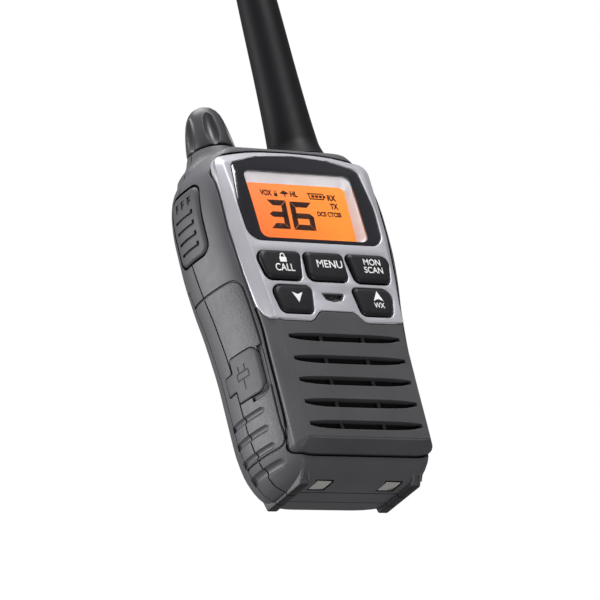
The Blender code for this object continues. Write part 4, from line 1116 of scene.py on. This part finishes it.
figures = digit(-9.9, 69.8, 5.7, 8.2, 1.55, "abgcd") + digit(-3.1, 69.7, 6.6, 8.1, 1.55, "afgedc")
inlay("display_digits", figures, PANEL_Y, PRINT, "legend_dark", "radio_body", "display_orange")
battery_mark = [[(3.1, 80.6), (8.0, 80.6), (8.0, 80.3), (3.1, 80.3)],
                [(3.6, 79.1), (8.0, 79.1), (8.0, 78.8), (3.6, 78.8)],
                [(7.8, 80.3), (8.1, 80.3), (8.1, 79.1), (7.8, 79.1)],
                [(8.1, 80.0), (8.6, 80.0), (8.6, 79.4), (8.1, 79.4)],
                [(3.4, 80.3), (3.7, 80.3), (3.9, 79.1), (3.6, 79.1)]]
battery_mark += [[(4.3 + 1.15 * k, 80.05), (5.2 + 1.15 * k, 80.05), (5.2 + 1.15 * k, 79.35),
                  (4.3 + 1.15 * k, 79.35)]
                 for k in range(3)]
shade_mark = [[(-5.3, 80.0), (-4.0, 80.9), (-2.5, 80.1), (-3.6, 79.7)],
              [(-4.0, 79.7), (-3.7, 79.7), (-3.6, 79.0), (-3.9, 79.0)]]


def padlock(x, z, wide, tall):
    """A padlock's outlines: a body and a hoop, drawn as a strip."""
    body = [(x - wide / 2, z), (x + wide / 2, z), (x + wide / 2, z + tall * 0.55),
            (x - wide / 2, z + tall * 0.55)]
    out, thick, base = wide * 0.36, wide * 0.15, z + tall * 0.55
    arc = [(math.cos(math.radians(a)), math.sin(math.radians(a))) for a in range(0, 181, 20)]
    top = z + tall - out
    hoop = [(x + out, base)] + [(x + out * c, top + out * s) for c, s in arc] + [(x - out, base)]
    hoop += [(x - out + thick, base)]
    hoop += [(x + (out - thick) * c, top + (out - thick) * s) for c, s in reversed(arc)]
    return [body, hoop + [(x + out - thick, base)]]


inlay("display_marks", battery_mark + shade_mark + padlock(-6.5, 79.1, 0.95, 1.6), PANEL_Y, PRINT,
      "legend_dark",
      "radio_body", "display_orange")

# %% [markdown]
# Words are text objects turned into meshes and fitted to a box. They are function names such as
# MENU, printed in white on the keys and dark on the display.

# %% Words
def word(name, text, x, z, wide, tall, y, look, body, slot, bold=0.03, thick=PRINT):
    curve = bpy.data.curves.new(name, "FONT")
    curve.body = text
    curve.align_x = "CENTER"
    curve.extrude = 0.5
    curve.offset = bold
    thing = linked(name, curve)
    mesh = evaluated(thing)
    bpy.data.objects.remove(thing)
    bm = bmesh.new()
    bm.from_mesh(mesh)
    low_x, high_x = min(v.co.x for v in bm.verts), max(v.co.x for v in bm.verts)
    low_y, high_y = min(v.co.y for v in bm.verts), max(v.co.y for v in bm.verts)
    bmesh.ops.translate(bm, verts=bm.verts, vec=(-(low_x + high_x) / 2, -(low_y + high_y) / 2, 0.0))
    bmesh.ops.scale(bm, verts=bm.verts,
                    vec=(wide / (high_x - low_x) * MM, tall / (high_y - low_y) * MM, thick * MM))
    bm.transform(Matrix.Translation(at(x, y, z)) @ Matrix.Rotation(math.radians(90), 4, "X"))
    return place_piece(solid(name, bm), look, body, slot)


for text, x, z, wide, tall in (("VOX", -9.35, 80.0, 3.5, 1.7), ("HL", -1.0, 80.0, 2.2, 1.6),
                               ("RX", 10.4, 79.5, 2.6, 1.7),
                               ("TX", 10.6, 77.1, 2.4, 1.7), ("DCS CTCSS", 8.5, 74.7, 7.3, 1.4)):
    word("display_" + text.replace(" ", "_").lower(), text, x, z, wide, tall, PANEL_Y, "legend_dark",
         "radio_body",
         "display_orange", 0.045)

# %% [markdown]
# The keys are rubber caps: a shaped outline with a soft shoulder, a slightly crowned face and a
# flange behind the bezel that keeps them in. Each one rides on its own body with its printed word.

# %% Keys
KEY_FRONT = -16.64
KEY_BODIES = {"key_call": "call_key", "key_menu": "menu_key", "key_scan": "scan_key",
              "key_down": "down_key", "key_up": "up_key"}


def key_front(corners):
    middle_x = sum(x for x, z in corners) / 4
    middle_z = sum(z for x, z in corners) / 4

    def place(x, z, inset):
        crown = 0.05 + 0.1 * min((((x - middle_x) / 6.0) ** 2 + ((z - middle_z) / 4.0) ** 2), 1.0)
        return at(x, KEY_FRONT + 0.85 * shoulder(inset, 1.05) + crown, z)
    return place


for name, (corners, radii) in KEYS.items():
    outline = rounded(corners, radii, 7)
    cap = crowned(f"{name}_cap", outline, [0.05, 0.15, 0.3, 0.5, 0.75, 1.05], key_front(corners),
                  lambda x, z: at(x, -9.3, z), np.arange(-19.3, 20.0, 1.9), np.arange(44.3, 60.5, 1.7))
    flange = crowned(f"{name}_flange", grown(outline, 0.6), [],
                     lambda x, z, d: at(x, -9.5, z), lambda x, z: at(x, -8.5, z))
    carve(cap, "UNION", flange)
    place_piece(cap, "key_rubber", KEY_BODIES[name], "key_rubber", name, sharp=50.0)

# %% [markdown]
# Printed marks stand a few hundredths of a millimetre above the rubber.

# %% Key legends
LEGEND_Y, LEGEND_DEPTH = KEY_FRONT + 0.01, 0.3
for text, x, z, wide, tall, body in (("CALL", -12.97, 55.8, 5.6, 2.05, "call_key"),
                                     ("MENU", 0.67, 57.3, 7.6, 2.1, "menu_key"),
                                     ("MON", 13.7, 58.4, 5.1, 1.75, "scan_key"),
                                     ("SCAN", 13.7, 56.2, 5.6, 1.75, "scan_key"),
                                     ("WX", 12.85, 46.2, 3.1, 1.5, "up_key")):
    word("legend_" + text.lower(), text, x, z, wide, tall, LEGEND_Y + LEGEND_DEPTH / 2, "legend_white",
         body, "key_rubber",
         0.01, LEGEND_DEPTH)
SHAPES = (("legend_padlock", padlock(-13.0, 57.3, 2.0, 2.5), "call_key"),
          ("legend_down", [[(-12.75, 48.95), (-11.2, 48.3), (-9.65, 48.95), (-11.2, 46.1)]], "down_key"),
          ("legend_up", [[(12.9, 50.15), (14.4, 47.4), (12.9, 48.0), (11.4, 47.4)]], "up_key"))
for name, outlines, body in SHAPES:
    inlay(name, outlines, LEGEND_Y + LEGEND_DEPTH, LEGEND_DEPTH, "legend_white", body, "key_rubber")

# %% [markdown]
# The push-to-talk key follows the flank and stands a little proud. Four ribs with a short tick at
# their front end and three small broken marks are milled into it, so a thumb finds it blind.

# %% Talk key
def talk_rise(inset):
    return 0.25 - 0.8 * shoulder(inset, 1.1)


talk = follow("talk_cap", -1, TALK, 0.25, -2.4, (0.06, 0.18, 0.35, 0.6, 0.85, 1.1), talk_rise, 1.1)
marks = []
for number in range(4):
    z = 68.0 + 3.0 * number
    for part, path in enumerate((dense([(3.2, z), (-3.9, z)], 0.6),
                                 dense([(-3.7, z - 0.1), (-3.7, z + 1.1)], 0.4))):
        marks.append(tube(f"talk_rib_{number}_{part}", [on_flank(-1, y, zz, 0.1) for y, zz in path], 0.42))
for number in range(3):
    y = -2.9 + 2.5 * number
    path = dense([(y + 0.2, 82.0), (y, 79.6)], 0.4)
    marks.append(tube(f"talk_mark_{number}", [on_flank(-1, yy, zz, 0.1) for yy, zz in path], 0.32))
    for level_z in (81.3, 80.3):
        path = [on_flank(-1, y - 0.05 - 0.4 * k, level_z + 0.28 * k, 0.1) for k in range(3)]
        marks.append(tube(f"talk_tick_{number}_{level_z}", path, 0.28))
cut(talk, *marks)
place_piece(talk, "talk_rubber", "talk_key", "black_rubber", "ptt_button", sharp=40.0)

# %% [markdown]
# Two rubber covers close the sockets. Each has a strap that bends behind it and a plug that fills
# the socket. A simple plug sign is engraved on one and a headset arc on the other.

# %% Socket covers
def flap_rise(inset):
    return 0.25 - 0.35 * shoulder(inset, 0.5)


SIGNS = {"usb_flap": [[(-4.6, 27.6), (-4.6, 30.4)], [(-6.6, 30.4), (-2.6, 30.4)],
                      [(-6.6, 30.4), (-6.6, 32.2), (-2.6, 32.2), (-2.6, 30.4)],
                      [(-5.7, 32.4), (-5.7, 34.0)], [(-3.5, 32.4), (-3.5, 34.0)]],
         "headset_flap": [[(-6.8, 71.0), (-6.6, 73.2), (-5.4, 74.4), (-3.8, 74.4), (-2.6, 73.2),
                           (-2.4, 71.0)],
                          [(-6.8, 71.0), (-6.8, 69.6)], [(-2.4, 71.0), (-2.4, 69.6)]]}
for name, (side, low, high) in FLAPS.items():
    flap = follow(f"{name}_cover", side, flap_outline(low, high), 0.25, -1.15, (0.06, 0.16, 0.3, 0.5),
                  flap_rise, 1.3)
    half_here = case_at((low + high) / 2)[0]
    near, far = sorted((side * (half_here - 0.6), side * (half_here - 2.1)))
    if side < 0:
        plug = soften(block("usb_stub", (near, -3.8, 28.4), (far, -2.3, 33.6)), 0.2, 2)
    else:
        plug = bar("headset_stub", "X", HEADSET_AT, near, far, 1.6, 32)
    carve(flap, "UNION", plug)
    for number, path in enumerate(SIGNS[name]):
        cut(flap, tube(f"sign_{number}", [on_flank(side, y, z, 0.3) for y, z in dense(path, 0.5)], 0.2))
    place_piece(flap, "talk_rubber", {"usb_flap": "usb_cover", "headset_flap": "headset_cover"}[name],
                "black_rubber", name,
                sharp=40.0)

# %% [markdown]
# The volume knob is a tapering dome of revolution with scoops cut into its side, which meet it in
# sharp leaf-shaped edges that the fingers catch.

# %% Volume knob
knob_profile = [(0, 111.0), (1.3, 110.95), (2.2, 110.75), (3.1, 110.2), (3.9, 109.3), (4.5, 108.2),
                (5.0, 106.8), (5.5, 104.8), (5.9, 102.6), (6.2, 100.4), (6.35, 98.9), (6.3, 98.2),
                (6.0, 97.9), (0, 97.9)]
knob = spun("knob_cap", knob_profile, (*KNOB_AT, 0), 96)
for number in range(6):
    turn = math.radians(60.0 * number + 10.0)
    bm = bmesh.new()
    bmesh.ops.create_uvsphere(bm, u_segments=40, v_segments=28, radius=1.0)
    bmesh.ops.scale(bm, verts=bm.verts, vec=(3.3 * MM, 2.45 * MM, 7.4 * MM))
    middle = at(KNOB_AT[0] + 7.6 * math.cos(turn), KNOB_AT[1] + 7.6 * math.sin(turn), 103.6)
    leant = Matrix.Rotation(turn, 4, "Z") @ Matrix.Rotation(math.radians(-7), 4, "Y")
    bm.transform(Matrix.Translation(middle) @ leant)
    cut(knob, solid(f"scoop_{number}", bm))
cut(knob, bar("knob_bore", "Z", KNOB_AT, 90.0, 107.3, 1.9, 32))
place_piece(knob, "knob_plastic", "volume_control", "housing_plastic", "volume_knob", sharp=24.0)

# %% [markdown]
# The antenna is a rubber sheath that tapers to a domed end and flares at its foot. Its profile is
# read through the smooth table, so the taper has no corners.

# %% Antenna
antenna_at = through([(96.3, 8.2), (98.6, 7.3), (101.5, 6.7), (122.0, 5.8), (140.0, 5.4), (154.8, 5.0)])
levels = np.concatenate([np.arange(154.8, 103, -2.6), np.arange(102.6, 96.3, -0.45)])
outer_line = [(antenna_at(z)[0], z) for z in levels]
dome = [(5.0 * math.sin(math.radians(a)), 154.8 + 5.2 * math.cos(math.radians(a))) for a in range(0, 88, 8)]
sheath = [(0.0, 160.0)] + dome[1:] + outer_line + [(8.2, 96.3), (4.3, 96.3), (4.3, 100.0), (1.4, 100.0),
                                                   (1.4, 150.0), (0.0, 150.0)]
place_piece(spun("antenna_cover", sheath, (*ANTENNA_AT, 0), 72), "black_rubber", "radio_body",
            "black_rubber", "antenna_sheath")

# %% [markdown]
# Charging contacts lie in the recesses between the rails: bright plates with soft edges.

# %% Charging contacts
for name, side in (("charge_contact_left", -1), ("charge_contact_right", 1)):
    low_x, high_x = sorted((side * 8.1, side * 12.4))
    contact = soften(block(f"{name}_plate", (low_x, -7.9, 1.0), (high_x, -3.4, 1.7)), 0.18, 3)
    carve(contact, "UNION", bar(f"{name}_pin", "Z", (side * 10.25, -5.2), 1.4, 5.4, 0.8, 24))
    place_piece(contact, "nickel", "radio_body", "nickel", name)

# %% [markdown]
# Four screws hold the case together from behind. The upper two show in their wells, so every head
# has a cross recess.

# %% Case screws
for name, (x, z, seat, point) in SCREWS.items():
    profile = [(0, -point), (0.9, -point - 0.3), (1.1, -point - 0.6), (1.1, -seat), (2.2, -seat),
               (2.25, -seat - 0.7), (1.9, -seat - 1.2), (1.2, -seat - 1.5), (0, -seat - 1.5)]
    screw = spun(f"{name}_head", profile, (x, 0.0, z), 40, "Y")
    for wide, tall in ((1.4, 0.22), (0.22, 1.4)):
        cut(screw, block("cross", (x - wide, seat + 0.7, z - tall), (x + wide, seat + 3.0, z + tall)))
    place_piece(screw, "steel", "radio_body", "steel", name)

# %% [markdown]
# The door's latch is a small slide with three grip lines. A stem joins it to a wider tongue behind
# the door's wall, which keeps it in its slot.

# %% Door latch
latch = soften(block("latch_slide", (-6.0, 15.2, 17.9), (6.0, 16.6, 24.5)), 0.3, 3)
carve(latch, "UNION", block("latch_stem", (-2.2, 12.9, 19.9), (2.2, 15.6, 23.3)))
carve(latch, "UNION", block("latch_tongue", (-4.0, 12.7, 18.9), (4.0, 13.5, 24.3)))
for number in range(3):
    z = 19.6 + 1.6 * number
    cut(latch, tube(f"latch_grip_{number}", [(-4.6, 16.65, z), (4.6, 16.65, z)], 0.35))
place_piece(latch, "black_plastic", "latch", "black_plastic", "battery_latch")

# %% [markdown]
# The belt clip is a base that slides on the rail, with two ears that hold a pin, and an arm that
# swings on it. Both have moulded round edges.

# %% Belt clip
CLIP_AXIS = (22.8, 80.0)
base = soften(push("clip_plate", plate(8.0, 64.6, 88.0, 1.6), "Y", 16.1, 20.4), 0.35, 3)
cut(base, block("rail_slot_neck", (-3.3, 10.0, 60.0), (3.3, 18.0, 84.3)))
cut(base, block("rail_slot_head", (-5.3, 16.9, 60.0), (5.3, 18.9, 84.3)))
for side in (-1, 1):
    low_x, high_x = sorted((side * 5.6, side * 7.9))
    ear = push(f"clip_ear_{side}", rounded([(19.8, 76.0), (24.4, 77.6), (24.4, 82.4), (19.8, 84.0)],
                                           [0.2, 2.0, 2.0, 0.2], 6),
               "X", low_x, high_x)
    carve(base, "UNION", soften(ear, 0.2, 2))
cut(base, bar("base_pin_hole", "X", CLIP_AXIS, -20.0, 20.0, 1.05, 32))
place_piece(base, "black_plastic", "clip_slide", "black_plastic", "clip_base")
ARM_CORNERS = [(24.2, 89.0), (26.04, 86.5), (26.04, 49.0), (25.2, 42.0), (22.0, 33.0), (18.6, 29.4),
               (16.6, 29.4), (16.4, 30.6), (18.0, 32.6), (21.4, 38.0), (23.2, 44.0), (24.8, 52.0),
               (24.8, 84.0), (23.4, 88.6)]
ARM_RADII = [0.8, 2, 12, 14, 10, 3, 0.7, 0.5, 6, 10, 12, 14, 4, 0.4]
arm_outline = rounded(ARM_CORNERS, ARM_RADII, 6)
arm = soften(push("clip_lever_arm", arm_outline, "X", -9.0, 9.0), 0.3, 3, 50.0)
lug = push("clip_lug", rounded([(21.0, 77.6), (25.4, 76.0), (25.4, 84.0), (21.0, 82.4)],
                               [1.8, 0.2, 0.2, 1.8], 6), "X", -5.2, 5.2)
carve(arm, "UNION", lug)
cut(arm, bar("arm_pin_hole", "X", CLIP_AXIS, -20.0, 20.0, 1.05, 32))
cut(arm, block("spring_space", (-3.0, 10.0, 70.0), (3.0, 24.75, 90.0)))
for number in range(4):
    z = 83.0 + 1.4 * number
    cut(arm, tube(f"arm_grip_{number}", [(-6.5, 26.1, z), (6.5, 26.1, z)], 0.35))
place_piece(arm, "black_plastic", "clip_lever", "black_plastic", "clip_arm")

# %% [markdown]
# The clip's spring is a torsion coil round the pin, with one leg on the base and one on the arm.

# %% Clip spring
turns, steps, coil = 3, 24, 1.6
path = [(-2.0, CLIP_AXIS[0] - 1.2, CLIP_AXIS[1] - 4.2)]
for k in range(turns * steps + 1):
    angle = 2 * math.pi * k / steps
    path.append((-2.0 + 4.0 * k / (turns * steps), CLIP_AXIS[0] + coil * math.sin(angle),
                 CLIP_AXIS[1] - coil * math.cos(angle)))
path.append((2.0, CLIP_AXIS[0] + 1.1, CLIP_AXIS[1] - 5.6))
place_piece(tube("spring_wire", path, 0.3), "steel", "clip_slide", "steel", "clip_spring")

# %% [markdown]
# The studio is plain: a pale floor, a pale surround and large soft lamps. The camera looks up at
# the radio from below the floor's level, so the floor shows only from above and lets light pass.

# %% Floor
bm = bmesh.new()
bmesh.ops.create_circle(bm, cap_ends=True, segments=96, radius=0.8)
bmesh.ops.translate(bm, verts=bm.verts, vec=(0.0, 0.0, -0.0004))
floor = solid("studio_floor", bm)
if floor.data.polygons[0].normal.z < 0:
    floor.data.flip_normals()
look, tree, shader = new_look("studio_floor")
shader.inputs["Roughness"].default_value = 0.7
where = add_node(tree, "TexCoord").outputs["Object"]
speckle = add_node(tree, "TexNoise", {"Vector": where, "Scale": 60.0}).outputs["Fac"]
tree.links.new(mixed(tree, speckle, (0.8, 0.8, 0.8, 1.0), (0.86, 0.86, 0.86, 1.0)),
               shader.inputs["Base Color"])
seen_above = maths(tree, "MULTIPLY", add_node(tree, "LightPath").outputs["Is Camera Ray"],
                   maths(tree, "SUBTRACT", 1.0, add_node(tree, "NewGeometry").outputs["Backfacing"]))
passing = add_node(tree, "BsdfTransparent").outputs[0]
both = add_node(tree, "MixShader", {0: seen_above, 1: passing, 2: shader.outputs[0]}).outputs[0]
tree.links.new(both, tree.nodes["Material Output"].inputs["Surface"])
floor.data.materials.append(look)
print("floor of", floor.dimensions.x, "m")

# %% [markdown]
# The surround is white to the eye and softer as a light, and four wide lamps shape the radio.

# %% Surround and lamps
world = bpy.data.worlds.new("studio")
bpy.context.scene.world = world
world.use_nodes = True
tree = world.node_tree
seen = add_node(tree, "LightPath").outputs["Is Camera Ray"]
strength = spread(tree, seen, 0.0, 1.0, 0.26, 1.0)
tree.links.new(strength, tree.nodes["Background"].inputs["Strength"])
tree.nodes["Background"].inputs["Color"].default_value = (1.0, 1.0, 1.0, 1.0)
LAMPS = {"lamp_left": ((-0.8, 0.34, 0.25), 0.5, 9.0), "lamp_front": ((0.1, -0.7, 0.9), 0.5, 12.0),
         "lamp_low": ((-0.25, -0.55, -0.6), 0.5, 3.0), "lamp_top": ((0.0, 0.1, 0.9), 0.6, 6.0)}
for name, (spot, size, watts) in LAMPS.items():
    lamp = bpy.data.lights.new(name, "AREA")
    lamp.shape = "DISK"
    lamp.size = size
    lamp.energy = watts
    thing = linked(name, lamp)
    thing.location = spot
    thing.rotation_euler = (Vector((0.0, 0.0, 0.06)) - Vector(spot)).to_track_quat("-Z", "Y").to_euler()
bpy.context.scene.view_settings.view_transform = "Standard"
print(len(LAMPS), "lamps")
